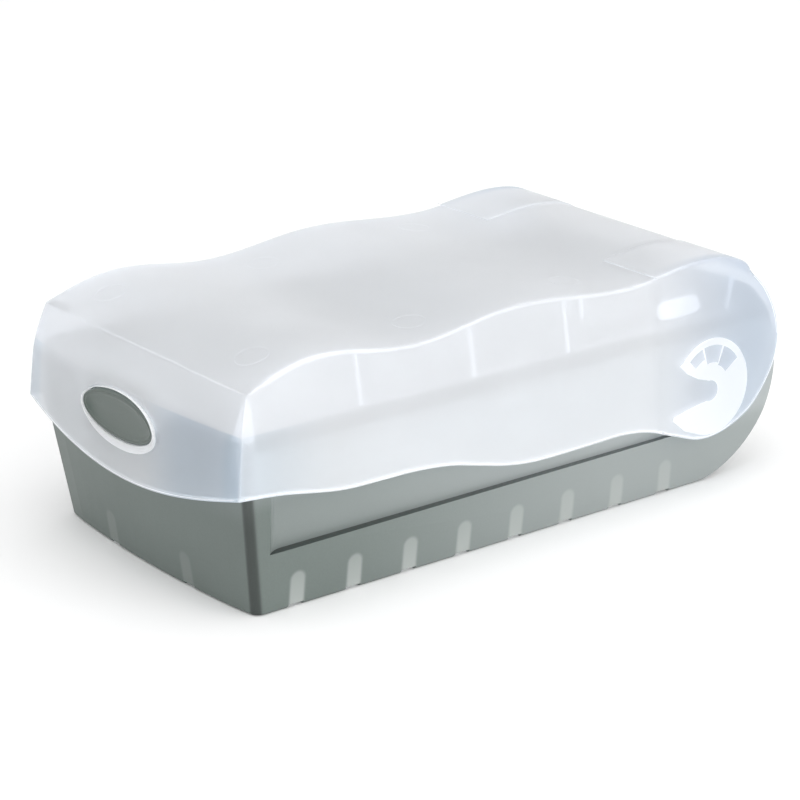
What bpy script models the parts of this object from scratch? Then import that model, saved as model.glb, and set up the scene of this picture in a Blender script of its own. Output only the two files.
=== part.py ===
"""Card index box: a smoke grey tray, a frosted lid that swings up on two pivots at the rear,
a sprung latch tongue with an oval push button at the front, and a leaning support plate.

Metres, +Z up. X runs across the box, -Y is the latch end and +Y the hinge end. Every shape is
laid out from the foot line, where the tray's front wall meets the floor, and an empty then
moves the whole box so that the middle of its footprint lies on the origin."""

import math

import bmesh
import bpy
from mathutils import Matrix, Vector

MM = 0.001

# The whole box
CARD_WIDTH = 105 * MM
FOOT_LINE_Y = -105.1 * MM  # from the middle of the footprint to the foot line
GAP = 0.3 * MM

# Tray
TRAY_HALF_WIDTH = 55.5 * MM  # at the floor
SIDE_DRAFT = 0.12
FRONT_DRAFT = 0.142
FRONT_BULGE = 3.3 * MM
TRAY_WALL = 1.6 * MM
FLOOR_CHAMFER = 0.8 * MM
CORNER_RADIUS = 3.5 * MM
LEDGE_Z = 21.2 * MM
RECESS_FRONT_Y = 2.5 * MM
RECESS_BOTTOM_HALF = 54.9 * MM
RECESS_TOP_HALF = 57.2 * MM
RECESS_TOP_Z = 57.2 * MM
PILLAR_TOP_Z = 43.0 * MM
PILLAR_REAR_Y = 20.0 * MM
PILLAR_STEP = 0.8 * MM  # how far the front wall steps back above the pillars
REAR_HALF_WIDTH = 56.9 * MM
REAR_RADIUS = 39.5 * MM  # of the rounded rear wall
REAR_TOP_Z = 69.5 * MM
RIM_HALF_WIDTH = 59.3 * MM
RIM_Z = 63.3 * MM
RIM_FRONT_Y = -5.2 * MM
RIM_REAR_Y = 191.5 * MM

# Foot slots along the floor
SLOT_COUNT = 8
SLOT_PITCH = 22.5 * MM
SLOT_FIRST_Y = 15.6 * MM
SLOT_WIDTH = 6.0 * MM
SLOT_INNER_X = 50.2 * MM
SLOT_OUTER_X = 53.6 * MM
SLOT_NOTCH_Z = 1.2 * MM
FRONT_SLOT_X = 22.2 * MM
FRONT_SLOT_REACH = (-2 * MM, 0.9 * MM)  # in front of the foot line: the hole, then the wall

# Hinge
PIVOT_Y = 186.5 * MM
PIVOT_Z = 37.2 * MM
STUD_RADIUS = 3.1 * MM
STUD_END_X = 61.3 * MM
SEAT_RADIUS = 3.6 * MM
HINGE_RADIUS = 20.5 * MM  # the round end of the side recess, which the clip turns in
CLIP_INNER_X = 58.9 * MM
CLIP_OUTER_X = 62.6 * MM
CLIP_MIDDLE = (0.8 * MM, 1.4 * MM)  # of its round back, from the pivot
CLIP_RADIUS = 17.3 * MM
CELL_OUTER = 15.1 * MM
CLIP_CELLS = [(133, 107, 11.4), (101, 66, 7.6), (59, 27, 7.4)]  # start, stop, inner radius
CLIP_LOWER_LIP = [(-12.0, -12.2), (-17.6, -7.4), (-17.2, -6.0), (-10.5, -4.5)]
CLIP_UPPER_LIP = [(-5.4, 5.2), (-10.8, 8.2), (-14.2, 11.6)]

# Lid
LID_WALL = 1.4 * MM
LID_SKIRT_HALF = 62.5 * MM  # at LID_SKIRT_Z
LID_SKIRT_Z = 44.3 * MM
LID_SIDE_SLOPE = 0.057
FOLD_Y = -4.1 * MM
FOLD_Z = 75.9 * MM
LID_TOP_LEAN = 0.2  # of the side walls above the crease
CREASE_Z = 63.5 * MM
CREASE_FRONT_Y = -8.0 * MM
LID_FRONT_SLOPE = 0.0885
LID_BULGE = 5.4 * MM  # of the front face, at BULGE_FULL_Z
BULGE_FULL_Z = 56.0 * MM
BULGE_FADE = 0.11  # how fast the bulge shrinks further down
SEAM_Y = 163.5 * MM
SEAM_STEP = 0.35 * MM
PANEL_HALF_X = 31.0 * MM
PANEL_RAISE = 0.45 * MM
LID_REAR_Y = 207.6 * MM
LID_CUT_Y = -7.5 * MM  # where the front and side lower edges meet
SMILE_DROP = 10.2 * MM
SMILE_FLATTEN = 2.15 * MM
SMILE_LOW = 0.6 * MM  # how far the middle's base line lies under the ends
GUSSET_FOOT_Z = 61.0 * MM
GUSSET_LEG = 3.7 * MM
RIB_HALF = 0.5 * MM  # half the thickness of the ribs inside the lid
RIB_ROOT = 0.5 * MM  # how far they reach into its wall
RIB_DEPTH = 1.6 * MM
RIBS = [(38.5, 0.0), (84.0, 0.0), (124.0, 0.0), (131.5, 10.0)]  # y, foot above the rim
STOP_NEAR = 28.5 * MM  # from the pivot
STOP_FAR = 41.0 * MM
STOP_DEPTH = 0.8 * MM
STOP_TURN = math.radians(19.4)  # back from upright, as seen from the side

# Top of the lid: (y, z) of each crest and hollow, from the fold to the rear lip
TOP_WAVE = [(FOLD_Y, FOLD_Z), (24 * MM, 82.8 * MM), (61 * MM, 79.0 * MM), (105 * MM, 83.2 * MM),
            (152 * MM, 80.0 * MM), (186 * MM, 83.0 * MM), (LID_REAR_Y, 75.6 * MM)]

# Lower edge of the lid's sides: (y, z) from the front corner round the hinge to the rear lip
SIDE_EDGE = [(-7.5, 43.6), (7, 42.1), (28, 38.6), (45, 38.1), (58, 37.9), (72, 36.5), (85, 33.5),
             (97, 30.8), (110, 29.6), (131, 29.8), (146, 30.0), (158, 28.4), (170, 24.4),
             (181, 20.8), (190, 20.9), (200, 23.9), (208, 28.9), (215.5, 38.2), (219.2, 48.4),
             (218.4, 58.2), (213.8, 68.8), (207.6, 75.6)]

# Latch
TONGUE_HALF_WIDTH = 25.0 * MM
TONGUE_BOTTOM_Z = 39.0 * MM
TONGUE_TOP_Z = 66.5 * MM
TONGUE_SHOULDER_Z = 57.0 * MM
TONGUE_SET_BACK_Z = 46.0 * MM
TONGUE_BACK_Y = -6.6 * MM
RELIEF = 1.2 * MM
OVAL_Z = 54.4 * MM
WINDOW_HALF_X = 21.6 * MM
WINDOW_HALF_Z = 8.3 * MM
OVAL_STEPS = 40
BUTTON_HALF_X = 20.9 * MM
BUTTON_HALF_Z = 7.6 * MM
BUTTON_CLEARANCE = 1.15 * MM
BUTTON_CENTRE_DEPTH = 1.3 * MM
BUTTON_RINGS = [(0.4, 1.2), (0.72, 0.85), (0.86, 0.3), (0.93, 0.0), (1.0, 0.35)]  # share, depth
BUTTON_BACK_SHARE = 0.97
TONGUE_BOW = 0.8 * MM
TONGUE_TOP_SHARE = 0.55  # of the tongue's width, left at its rounded top
TONGUE_LEVELS = [39, 41, 43.5, 46, 50, 54, 57, 60, 62.5, 64.5, 66, 66.5]

# Support plate
PLATE_SLOT = 7
PLATE_HALF_WIDTH = CARD_WIDTH / 2
PLATE_THICKNESS = 1.6 * MM
PLATE_HEIGHT = 50.0 * MM
PLATE_LEAN = math.radians(12)
PLATE_FOOT_Z = 2.3 * MM
PLATE_CORNER = 9.0 * MM
PLATE_BOTTOM = -0.35 * MM  # from the tilt axis
PLATE_TAB_END = -1.8 * MM


# ---------------------------------------------------------------- scene and small helpers


def clear_scene():
    for obj in list(bpy.data.objects):
        bpy.data.objects.remove(obj)


def make_collection(name):
    collection = bpy.data.collections.new(name)
    bpy.context.scene.collection.children.link(collection)
    return collection


def make_empty(name, location, parent=None):
    empty = bpy.data.objects.new(name, None)
    empty.empty_display_size = 0.01
    empty.location = location
    empty.parent = parent
    PARTS.objects.link(empty)
    return empty


def material(name, colour, roughness, transmission=0.0):
    made = bpy.data.materials.new(name)
    made.use_nodes = True
    shader = made.node_tree.nodes["Principled BSDF"]
    shader.inputs["Base Color"].default_value = (*colour, 1)
    shader.inputs["Roughness"].default_value = roughness
    shader.inputs["Metallic"].default_value = 0.0
    shader.inputs["Transmission Weight"].default_value = transmission
    return made


def add_object(name, bm, collection):
    """A mesh object made from bm, with its faces turned outwards."""
    bmesh.ops.remove_doubles(bm, verts=bm.verts, dist=1e-6)
    bmesh.ops.recalc_face_normals(bm, faces=bm.faces)
    mesh = bpy.data.meshes.new(name)
    bm.to_mesh(mesh)
    bm.free()
    obj = bpy.data.objects.new(name, mesh)
    collection.objects.link(obj)
    return obj


def hang(obj, empty):
    """Parents obj to an empty that stands at a place of the foot line frame, without moving obj
    from where that frame has it."""
    bpy.context.view_layer.update()
    offset = ROOT.matrix_world.inverted() @ empty.matrix_world
    obj.parent = empty
    obj.matrix_parent_inverse = offset.inverted()


def as_cutter(obj):
    obj.hide_render = True
    obj.display_type = "WIRE"
    for collection in list(obj.users_collection):
        collection.objects.unlink(obj)
    CUTTERS.objects.link(obj)
    return obj


def boolean(obj, other, operation):
    modifier = obj.modifiers.new(f"{operation.lower()}_{other.name}", "BOOLEAN")
    modifier.operation = operation
    modifier.solver = "EXACT"
    modifier.object = as_cutter(other)


def mirror_across(obj):
    """Adds the same shape on the other side of the box."""
    modifier = obj.modifiers.new("other_side", "MIRROR")
    modifier.use_axis = (True, False, False)
    modifier.merge_threshold = 0.0001
    modifier.use_mirror_merge = False


def smooth(obj, angle=40):
    obj.data.shade_smooth()
    obj.data.set_sharp_from_angle(angle=math.radians(angle))


def quarter_ease(a, b, t, start_flat, end_flat):
    """From a to b as t goes from 0 to 1, level at the ends that are marked flat."""
    if start_flat and end_flat:
        share = (1 - math.cos(math.pi * t)) / 2
    elif end_flat:
        share = math.sin(math.pi / 2 * t)
    else:
        share = 1 - math.sqrt(max(0.0, 1 - t * t))
    return a + (b - a) * share


def smooth_line(points, steps):
    """Points along a Catmull-Rom curve through the given points, ends included."""
    ends = [points[0]] + list(points) + [points[-1]]
    line = []
    for before, start, stop, after in zip(ends, ends[1:], ends[2:], ends[3:]):
        for step in range(steps):
            t = step / steps
            line.append(tuple(
                0.5 * (2 * b + (c - a) * t + (2 * a - 5 * b + 4 * c - d) * t**2
                       + (3 * b - a - 3 * c + d) * t**3)
                for a, b, c, d in zip(before, start, stop, after)))
    return line + [tuple(points[-1])]


def arc(centre, radius, start, stop, steps):
    """Points on an arc, with the angles in degrees."""
    angles = [math.radians(start + (stop - start) * i / steps) for i in range(steps + 1)]
    return [(centre[0] + radius * math.cos(a), centre[1] + radius * math.sin(a)) for a in angles]


# ---------------------------------------------------------------- shapes


def sheet(bm, rows):
    """Adds a surface through rows of points, all rows as long as the first."""
    grid = [[bm.verts.new(point) for point in row] for row in rows]
    for upper, lower in zip(grid, grid[1:]):
        for a, b, c, d in zip(upper, upper[1:], lower[1:], lower):
            bm.faces.new((a, b, c, d))


def stack_of_outlines(name, outlines, collection):
    """A closed solid through closed outlines, each a list of points at its own height."""
    bm = bmesh.new()
    loops = [[bm.verts.new(point) for point in outline] for outline in outlines]
    for lower, upper in zip(loops, loops[1:]):
        for i, corner in enumerate(lower):
            j = (i + 1) % len(lower)
            bm.faces.new((corner, lower[j], upper[j], upper[i]))
    bm.faces.new(list(reversed(loops[0])))
    bm.faces.new(loops[-1])
    return add_object(name, bm, collection)


def extruded(name, loops, half_thickness, placement, collection):
    """A flat outline, with any holes after it, as a mesh of the given half thickness. placement
    carries the outline's X, Y and thickness directions to where the piece stands."""
    curve = bpy.data.curves.new(name, "CURVE")
    curve.dimensions = "2D"
    curve.fill_mode = "BOTH"
    curve.extrude = half_thickness
    for loop in loops:
        spline = curve.splines.new("POLY")
        spline.points.add(len(loop) - 1)
        spline.use_cyclic_u = True
        for point, (x, y) in zip(spline.points, loop):
            point.co = (x, y, 0, 1)
    outline = bpy.data.objects.new(name + "_outline", curve)
    CUTTERS.objects.link(outline)
    bpy.context.view_layer.update()
    evaluated = outline.evaluated_get(bpy.context.evaluated_depsgraph_get())
    mesh = bpy.data.meshes.new_from_object(evaluated)
    bpy.data.objects.remove(outline)
    bm = bmesh.new()
    bm.from_mesh(mesh)
    bpy.data.meshes.remove(mesh)
    bmesh.ops.transform(bm, matrix=placement, verts=bm.verts)
    return add_object(name, bm, collection)


def along_x(x=0.0):
    """Placement of a side outline: its own X and Y become Y and Z, its thickness lies along X."""
    return Matrix(((0, 0, 1, x), (1, 0, 0, 0), (0, 1, 0, 0), (0, 0, 0, 1)))


def along_y(y=0.0):
    """Placement of a front outline: its own X and Y become X and Z, its thickness along Y."""
    return Matrix(((1, 0, 0, 0), (0, 0, -1, y), (0, 1, 0, 0), (0, 0, 0, 1)))


def box(name, low, high, collection):
    bm = bmesh.new()
    bmesh.ops.create_cube(bm, size=1.0)
    size = Vector(high) - Vector(low)
    middle = (Vector(high) + Vector(low)) / 2
    bmesh.ops.transform(bm, matrix=Matrix.Translation(middle) @ Matrix.Diagonal((*size, 1)),
                        verts=bm.verts)
    return add_object(name, bm, collection)


# ---------------------------------------------------------------- tray


def tray_outline(z, half_width, rear_half, front_y, inset=0.0):
    """The tray seen from above at height z: straight sides, rounded front corners and a front
    wall that bows forward. It runs past the rear, where the side profile trims it."""
    half = half_width - inset
    rear = rear_half - inset
    front = front_y + inset
    radius = CORNER_RADIUS - inset
    back = 240 * MM
    left = arc((-half + radius, front + radius), radius, 180, 262, 5)
    right = [(-x, y) for x, y in reversed(left)]
    steps = 14
    bow = []
    for i in range(1, steps):
        x = (2 * i / steps - 1) * (half - radius)
        bow.append((x, front - FRONT_BULGE * (1 - (x / half) ** 2)))
    left = [(-rear, back), (-rear, PIVOT_Y), (-half, PILLAR_REAR_Y)] + left
    right += [(half, PILLAR_REAR_Y), (rear, PIVOT_Y), (rear, back)]
    loop = left + bow + right
    return [(x, y, z) for x, y in loop]


def rear_centre_y():
    """Where the rear wall's arc has its centre, just in front of the pivot."""
    return PIVOT_Y - 2 * MM


def tray_side_profile(name, inset):
    """The tray from the side: a flat floor that runs up into a rounded rear wall."""
    far = 60 * MM
    rear = arc((rear_centre_y(), REAR_RADIUS), REAR_RADIUS - inset, -90, 58, 30)
    top = RIM_Z + 20 * MM
    loop = [(-far, inset)] + rear + [(rear[-1][0], top), (-far, top)]
    return extruded(name, [loop], 80 * MM, along_x(), CUTTERS)


def front_wall_y(z):
    """Front of the tray's front wall at its corners. It steps back above the corner pillars, to
    stay inside the lid's skirt."""
    if z <= PILLAR_TOP_Z:
        return -FRONT_DRAFT * z
    step = -FRONT_DRAFT * PILLAR_TOP_Z + PILLAR_STEP
    return step + (RIM_FRONT_Y - step) * (z - PILLAR_TOP_Z) / (RIM_Z - PILLAR_TOP_Z)


def tray_outer():
    chamfered = TRAY_HALF_WIDTH - FLOOR_CHAMFER
    step = 0.4 * MM
    levels = [(0.0, chamfered, chamfered, FLOOR_CHAMFER)]
    for z in (FLOOR_CHAMFER, LEDGE_Z, PILLAR_TOP_Z):
        half = TRAY_HALF_WIDTH + SIDE_DRAFT * z
        levels.append((z, half, min(half, REAR_HALF_WIDTH), front_wall_y(z)))
    for z, rear_half in ((PILLAR_TOP_Z + step, REAR_HALF_WIDTH),
                         (RECESS_TOP_Z - step, REAR_HALF_WIDTH), (RECESS_TOP_Z, RIM_HALF_WIDTH)):
        levels.append((z, RIM_HALF_WIDTH, rear_half, front_wall_y(z)))
    levels.append((RIM_Z, RIM_HALF_WIDTH, RIM_HALF_WIDTH, RIM_FRONT_Y))
    outlines = [tray_outline(*level) for level in levels]
    tray = stack_of_outlines("base_tray", outlines, PARTS)
    boolean(tray, tray_side_profile("tray_profile", 0.0), "INTERSECT")
    return tray


def tray_cavity():
    """The inside of the tray, one wall thickness in from the outside all round."""
    under_ledge = LEDGE_Z - TRAY_WALL
    lower_half = TRAY_HALF_WIDTH + SIDE_DRAFT * under_ledge
    above = RIM_Z + 5 * MM
    slope = (RECESS_TOP_HALF - RECESS_BOTTOM_HALF) / (RECESS_TOP_Z - LEDGE_Z)
    levels = [(0.5 * MM, TRAY_HALF_WIDTH, TRAY_HALF_WIDTH, front_wall_y(0.5 * MM)),
              (under_ledge, lower_half, REAR_HALF_WIDTH, front_wall_y(under_ledge))]
    for z, front in ((LEDGE_Z - TRAY_WALL + GAP, front_wall_y(LEDGE_Z)),
                     (PILLAR_TOP_Z, front_wall_y(PILLAR_TOP_Z)), (above, RIM_FRONT_Y)):
        half = RECESS_BOTTOM_HALF + slope * (z - LEDGE_Z)
        levels.append((z, half, min(half, REAR_HALF_WIDTH), front))
    outlines = [tray_outline(*level, TRAY_WALL) for level in levels]
    cavity = stack_of_outlines("tray_cavity", outlines, CUTTERS)
    boolean(cavity, tray_side_profile("tray_cavity_profile", TRAY_WALL), "INTERSECT")
    return cavity


def side_recess():
    """The panel that is set back above the ledge, from the corner pillar to a round end about
    the pivot."""
    radius = 8.0 * MM
    outside = 75 * MM
    steps = 10
    outlines = []
    for i in range(steps + 1):
        z = LEDGE_Z + (RECESS_TOP_Z - LEDGE_Z) * i / steps
        half = RECESS_BOTTOM_HALF + (RECESS_TOP_HALF - RECESS_BOTTOM_HALF) * i / steps
        end = PIVOT_Y + math.sqrt(HINGE_RADIUS**2 - (z - PIVOT_Z) ** 2)
        corner = arc((half + radius, RECESS_FRONT_Y + radius), radius, 180, 270, 8)
        loop = [(half, end)] + corner + [(outside, RECESS_FRONT_Y), (outside, end)]
        outlines.append([(x, y, z) for x, y in loop])
    recess = stack_of_outlines("side_recess", outlines, CUTTERS)
    mirror_across(recess)
    return recess


def rim_end():
    """Takes the rim's outer lip off behind the pivots, where the lid swings past."""
    end = box("rim_end", (REAR_HALF_WIDTH, RIM_REAR_Y, RECESS_TOP_Z - MM),
              (75 * MM, 245 * MM, RIM_Z + 5 * MM), CUTTERS)
    mirror_across(end)
    return end


def slot_outline(inner, outer, beyond):
    """A foot slot in section: a hole through the floor, and a notch under the wall."""
    below = -MM
    through = 3 * MM
    return [(inner, below), (beyond, below), (beyond, SLOT_NOTCH_Z), (outer, SLOT_NOTCH_Z),
            (outer, through), (inner, through)]


def rear_wall_top():
    """The rear wall above the rim, up under the lid's rear lip."""
    centre = (rear_centre_y(), REAR_RADIUS)
    low = math.degrees(math.asin((RIM_Z - 2 * MM - REAR_RADIUS) / REAR_RADIUS))
    high = math.degrees(math.asin((REAR_TOP_Z - REAR_RADIUS) / REAR_RADIUS))
    loop = arc(centre, REAR_RADIUS, low, high, 6)
    loop += arc(centre, REAR_RADIUS - TRAY_WALL, high, low, 6)
    half = REAR_HALF_WIDTH - 0.5 * MM
    return extruded("rear_wall_top", [loop], half, along_x(), CUTTERS)


def foot_slots():
    outline = slot_outline(SLOT_INNER_X, SLOT_OUTER_X, 65 * MM)
    slots = extruded("foot_slots", [outline], SLOT_WIDTH / 2, along_y(SLOT_FIRST_Y), CUTTERS)
    row = slots.modifiers.new("row", "ARRAY")
    row.count = SLOT_COUNT
    row.use_relative_offset = False
    row.use_constant_offset = True
    row.constant_offset_displace = (0, SLOT_PITCH, 0)
    mirror_across(slots)
    return slots


def front_slots():
    outline = [(-y, z) for y, z in slot_outline(*FRONT_SLOT_REACH, 8 * MM)]
    slots = extruded("front_slots", [outline], SLOT_WIDTH / 2, along_x(FRONT_SLOT_X), CUTTERS)
    mirror_across(slots)
    return slots


def tongue_opening():
    half = TONGUE_HALF_WIDTH + RELIEF
    return box("tongue_opening", (-half, -30 * MM, TONGUE_BOTTOM_Z - 2 * GAP),
               (half, 5 * MM, RIM_Z + 5 * MM), CUTTERS)


def pivot_studs():
    """Round studs on the tray's sides, which the lid's clips swing on."""
    bm = bmesh.new()
    start = RECESS_BOTTOM_HALF
    length = STUD_END_X - start
    turn = Matrix.Rotation(math.radians(90), 4, "Y")
    place = Matrix.Translation((start + length / 2, PIVOT_Y, PIVOT_Z))
    bmesh.ops.create_cone(bm, cap_ends=True, segments=28, radius1=STUD_RADIUS,
                          radius2=STUD_RADIUS, depth=length, matrix=place @ turn)
    studs = add_object("pivot_studs", bm, CUTTERS)
    mirror_across(studs)
    return studs


def make_tray():
    tray = tray_outer()
    cuts = [side_recess(), rim_end(), tray_cavity(), foot_slots(), front_slots(),
            tongue_opening()]
    for cutter in cuts:
        boolean(tray, cutter, "DIFFERENCE")
    for part in (pivot_studs(), rear_wall_top()):
        boolean(tray, part, "UNION")
    return tray


# ---------------------------------------------------------------- lid


def top_z(y):
    """Height of the lid's top at its middle: crests and hollows, with a rounded rear lip."""
    last = len(TOP_WAVE) - 2
    for i, ((y0, z0), (y1, z1)) in enumerate(zip(TOP_WAVE, TOP_WAVE[1:])):
        if y <= y1 or i == last:
            t = min(1.0, max(0.0, (y - y0) / (y1 - y0)))
            return quarter_ease(z0, z1, t, i > 0, i < last)
    return z1


def lid_half_width(y, z):
    """Half width of the lid's outside: nearly upright up to the crease, leaning in above it. The
    cheeks behind the seam stand a little proud."""
    half = LID_SKIRT_HALF - LID_SIDE_SLOPE * (min(z, CREASE_Z) - LID_SKIRT_Z)
    half -= LID_TOP_LEAN * max(0.0, z - CREASE_Z)
    return half + SEAM_STEP if y > SEAM_Y else half


def lid_corner_y(z):
    """Y of the lid's front corner at height z: it leans forward down to the crease, then less."""
    if z > CREASE_Z:
        return CREASE_FRONT_Y + (FOLD_Y - CREASE_FRONT_Y) * (z - CREASE_Z) / (FOLD_Z - CREASE_Z)
    return CREASE_FRONT_Y - LID_FRONT_SLOPE * (CREASE_Z - z)


def lid_front_y(x, z):
    """Outside of the lid's bowed front face."""
    t = min(1.0, max(0.0, (FOLD_Z - z) / (FOLD_Z - BULGE_FULL_Z)))
    bulge = LID_BULGE * math.sin(math.pi / 2 * t) - BULGE_FADE * max(0.0, BULGE_FULL_Z - z)
    return lid_corner_y(z) - bulge * (1 - (x / lid_half_width(0, z)) ** 2)


LID_SHARES = [0.13, 0.26, 0.39, 0.52, 0.536, 0.64, 0.74, 0.84, 0.93, 1.0]
LID_COLUMNS = [-share for share in reversed(LID_SHARES)] + [0.0] + LID_SHARES
SIDE_STATIONS = [step * 6.8 * MM for step in range(23)]
REAR_STATIONS = [SEAM_Y + GAP, SEAM_Y + 8 * MM, 180 * MM, 188 * MM, 194 * MM, 199 * MM,
                 203 * MM, 205.5 * MM, 207 * MM, LID_REAR_Y]
SKIRT_LEVELS = [73.5, 71, 68, 65, 63.5, 57, 50, 43, 34, 24, 13]


def lid_row(level):
    """One line of points round the lid, from the rear on one side, past the front, to the rear
    on the other. Above the crease the lines share out the height up to the waved top edge."""
    share = max(0.0, (level - CREASE_Z) / (FOLD_Z - CREASE_Z))
    side = []
    for y in SIDE_STATIONS + [SEAM_Y] + REAR_STATIONS + [230 * MM]:
        edge = top_z(min(y, LID_REAR_Y)) + (PANEL_RAISE if y > SEAM_Y else 0.0)
        z = CREASE_Z + share * (edge - CREASE_Z) if share else level
        side.append((lid_half_width(y, z), y, z))
    bow = []
    for column in LID_COLUMNS:
        x = column * lid_half_width(0, level)
        bow.append((x, lid_front_y(x, level), level))
    return [(-x, y, z) for x, y, z in reversed(side)] + bow + side


def lid_shell():
    """The lid as one open surface, thickened inwards: its walls and its waved top."""
    bm = bmesh.new()
    sheet(bm, [lid_row(FOLD_Z)] + [lid_row(level * MM) for level in SKIRT_LEVELS])
    top = []
    for y in [FOLD_Y] + SIDE_STATIONS + [SEAM_Y] + REAR_STATIONS:
        z = top_z(y)
        half = lid_half_width(y, z + (PANEL_RAISE if y > SEAM_Y else 0.0))
        line = []
        for column in LID_COLUMNS:
            raised = y > SEAM_Y and PANEL_HALF_X < abs(column) * half
            line.append((column * half, y, z + (PANEL_RAISE if raised else 0.0)))
        top.append(line)
    sheet(bm, top)
    shell = add_object("lid", bm, PARTS)
    thick = shell.modifiers.new("wall", "SOLIDIFY")
    thick.thickness = LID_WALL
    thick.offset = -1
    thick.use_even_offset = True
    return shell


def side_edge_trim():
    """Everything below and behind the lower edge of the lid's sides."""
    edge = smooth_line([(y * MM, z * MM) for y, z in SIDE_EDGE], 3)
    low = 5 * MM
    high = 95 * MM
    far = 245 * MM
    loop = edge + [(LID_REAR_Y + MM, high), (far, high), (far, low), (LID_CUT_Y, low)]
    return extruded("side_edge_trim", [loop], 90 * MM, along_x(), CUTTERS)


def front_edge_trim():
    """Everything below the smile of the front skirt."""
    half = 66 * MM
    steps = 24
    edge = []
    for i in range(steps + 1):
        x = half * (2 * i / steps - 1)
        out = (x / LID_SKIRT_HALF) ** 2
        sag = (SMILE_DROP - SMILE_FLATTEN * out) * max(0.0, 1 - out)
        edge.append((x, LID_SKIRT_Z - SMILE_LOW * (1 - (x / half) ** 2) - sag))
    loop = edge + [(half, 5 * MM), (-half, 5 * MM)]
    depth = 20 * MM
    middle = LID_CUT_Y + 0.5 * MM - depth
    return extruded("front_edge_trim", [loop], depth, along_y(middle), CUTTERS)


def oval(half_x, half_z, steps):
    return [(half_x * math.cos(2 * math.pi * i / steps),
             OVAL_Z + half_z * math.sin(2 * math.pi * i / steps)) for i in range(steps)]


def oval_window():
    loop = oval(WINDOW_HALF_X, WINDOW_HALF_Z, OVAL_STEPS)
    return extruded("oval_window", [loop], 12 * MM, along_y(-14 * MM), CUTTERS)


def hinge_clips():
    """The open hook on each cheek that holds a pivot stud: a ribbed arch over a round seat,
    with its mouth to the front. Laid out round the pivot, then leant like the cheek."""
    bow = arc(CLIP_MIDDLE, CLIP_RADIUS, 140, -108, 30)
    lower_lip = [(y * MM, z * MM) for y, z in CLIP_LOWER_LIP]
    seat = arc((0, 0), SEAT_RADIUS, -116, 96, 14)
    upper_lip = [(y * MM, z * MM) for y, z in CLIP_UPPER_LIP]
    loop = bow + lower_lip + seat + upper_lip
    cells = []
    for start, stop, inner in CLIP_CELLS:
        rim = arc(CLIP_MIDDLE, CELL_OUTER, start, stop, 5)
        cells.append(rim + arc(CLIP_MIDDLE, inner * MM, stop, start, 4))
    half = (CLIP_OUTER_X - CLIP_INNER_X) / 2
    clips = extruded("hinge_clips", [loop] + cells, half, along_x(), CUTTERS)
    lean = Matrix.Rotation(-math.atan(LID_SIDE_SLOPE), 4, "Y")
    place = Matrix.Translation((CLIP_INNER_X + half, PIVOT_Y, PIVOT_Z))
    clips.data.transform(place @ lean)
    mirror_across(clips)
    return clips


def stand_off_ribs():
    """Short upright ribs inside the lid's sides, whose feet come down on the tray's rim."""
    ribs = []
    foot = RIM_Z + GAP
    for number, (y, foot_rise) in enumerate(RIBS):
        middle = y * MM
        low = foot + foot_rise * MM
        high = top_z(middle) - LID_WALL / 2
        wall = lid_half_width(middle, low) - LID_WALL
        lean = LID_TOP_LEAN * (high - low)
        outline = [(wall - RIB_DEPTH, low), (wall + RIB_ROOT, low),
                   (wall + RIB_ROOT - lean, high), (wall - RIB_DEPTH - lean, high)]
        rib = extruded(f"stand_off_rib_{number}", [outline], RIB_HALF, along_y(middle), CUTTERS)
        mirror_across(rib)
        ribs.append(rib)
    return ribs


def corner_gussets():
    """Wedges inside the front corners, widening down to feet outside the corners of the rim."""
    outlines = []
    for z, leg in ((GUSSET_FOOT_Z, GUSSET_LEG), (FOLD_Z - 2.5 * MM, 0.5 * MM)):
        x = lid_half_width(0, z) - LID_WALL / 2
        y = lid_corner_y(z) + LID_WALL / 2
        leg += LID_WALL / 2
        outlines.append([(x, y, z), (x, y + leg, z), (x - leg, y, z)])
    gussets = stack_of_outlines("corner_gussets", outlines, CUTTERS)
    mirror_across(gussets)
    return gussets


def stop_ribs():
    """A rib inside each rear cheek, pointing away from the pivot."""
    ends = []
    for reach in (STOP_NEAR, STOP_FAR):
        height = PIVOT_Z + reach * math.cos(STOP_TURN)
        wall = lid_half_width(LID_REAR_Y, height) - LID_WALL
        ends.append([(wall - STOP_DEPTH, reach), (wall + RIB_ROOT, reach)])
    loop = ends[0] + ends[1][::-1]
    stops = extruded("stop_ribs", [loop], RIB_HALF, along_y(), CUTTERS)
    place = Matrix.Translation((0, PIVOT_Y, PIVOT_Z)) @ Matrix.Rotation(-STOP_TURN, 4, "X")
    stops.data.transform(place)
    mirror_across(stops)
    return stops


def make_lid():
    lid = lid_shell()
    for cutter in (side_edge_trim(), front_edge_trim(), oval_window()):
        boolean(lid, cutter, "DIFFERENCE")
    for rib in stand_off_ribs() + [corner_gussets(), hinge_clips(), stop_ribs()]:
        boolean(lid, rib, "UNION")
    return lid


# ---------------------------------------------------------------- latch


def tongue_y(x, z):
    """Front of the tongue: flush with the tray's wall at its root, set back behind the button."""
    t = min(1.0, (z - TONGUE_BOTTOM_Z) / (TONGUE_SET_BACK_Z - TONGUE_BOTTOM_Z))
    root = front_wall_y(z) - FRONT_BULGE * (1 - (x / TRAY_HALF_WIDTH) ** 2)
    back = TONGUE_BACK_Y - TONGUE_BOW * (1 - (x / TONGUE_HALF_WIDTH) ** 2)
    return root + (back - root) * quarter_ease(0, 1, t, True, True)


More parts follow.
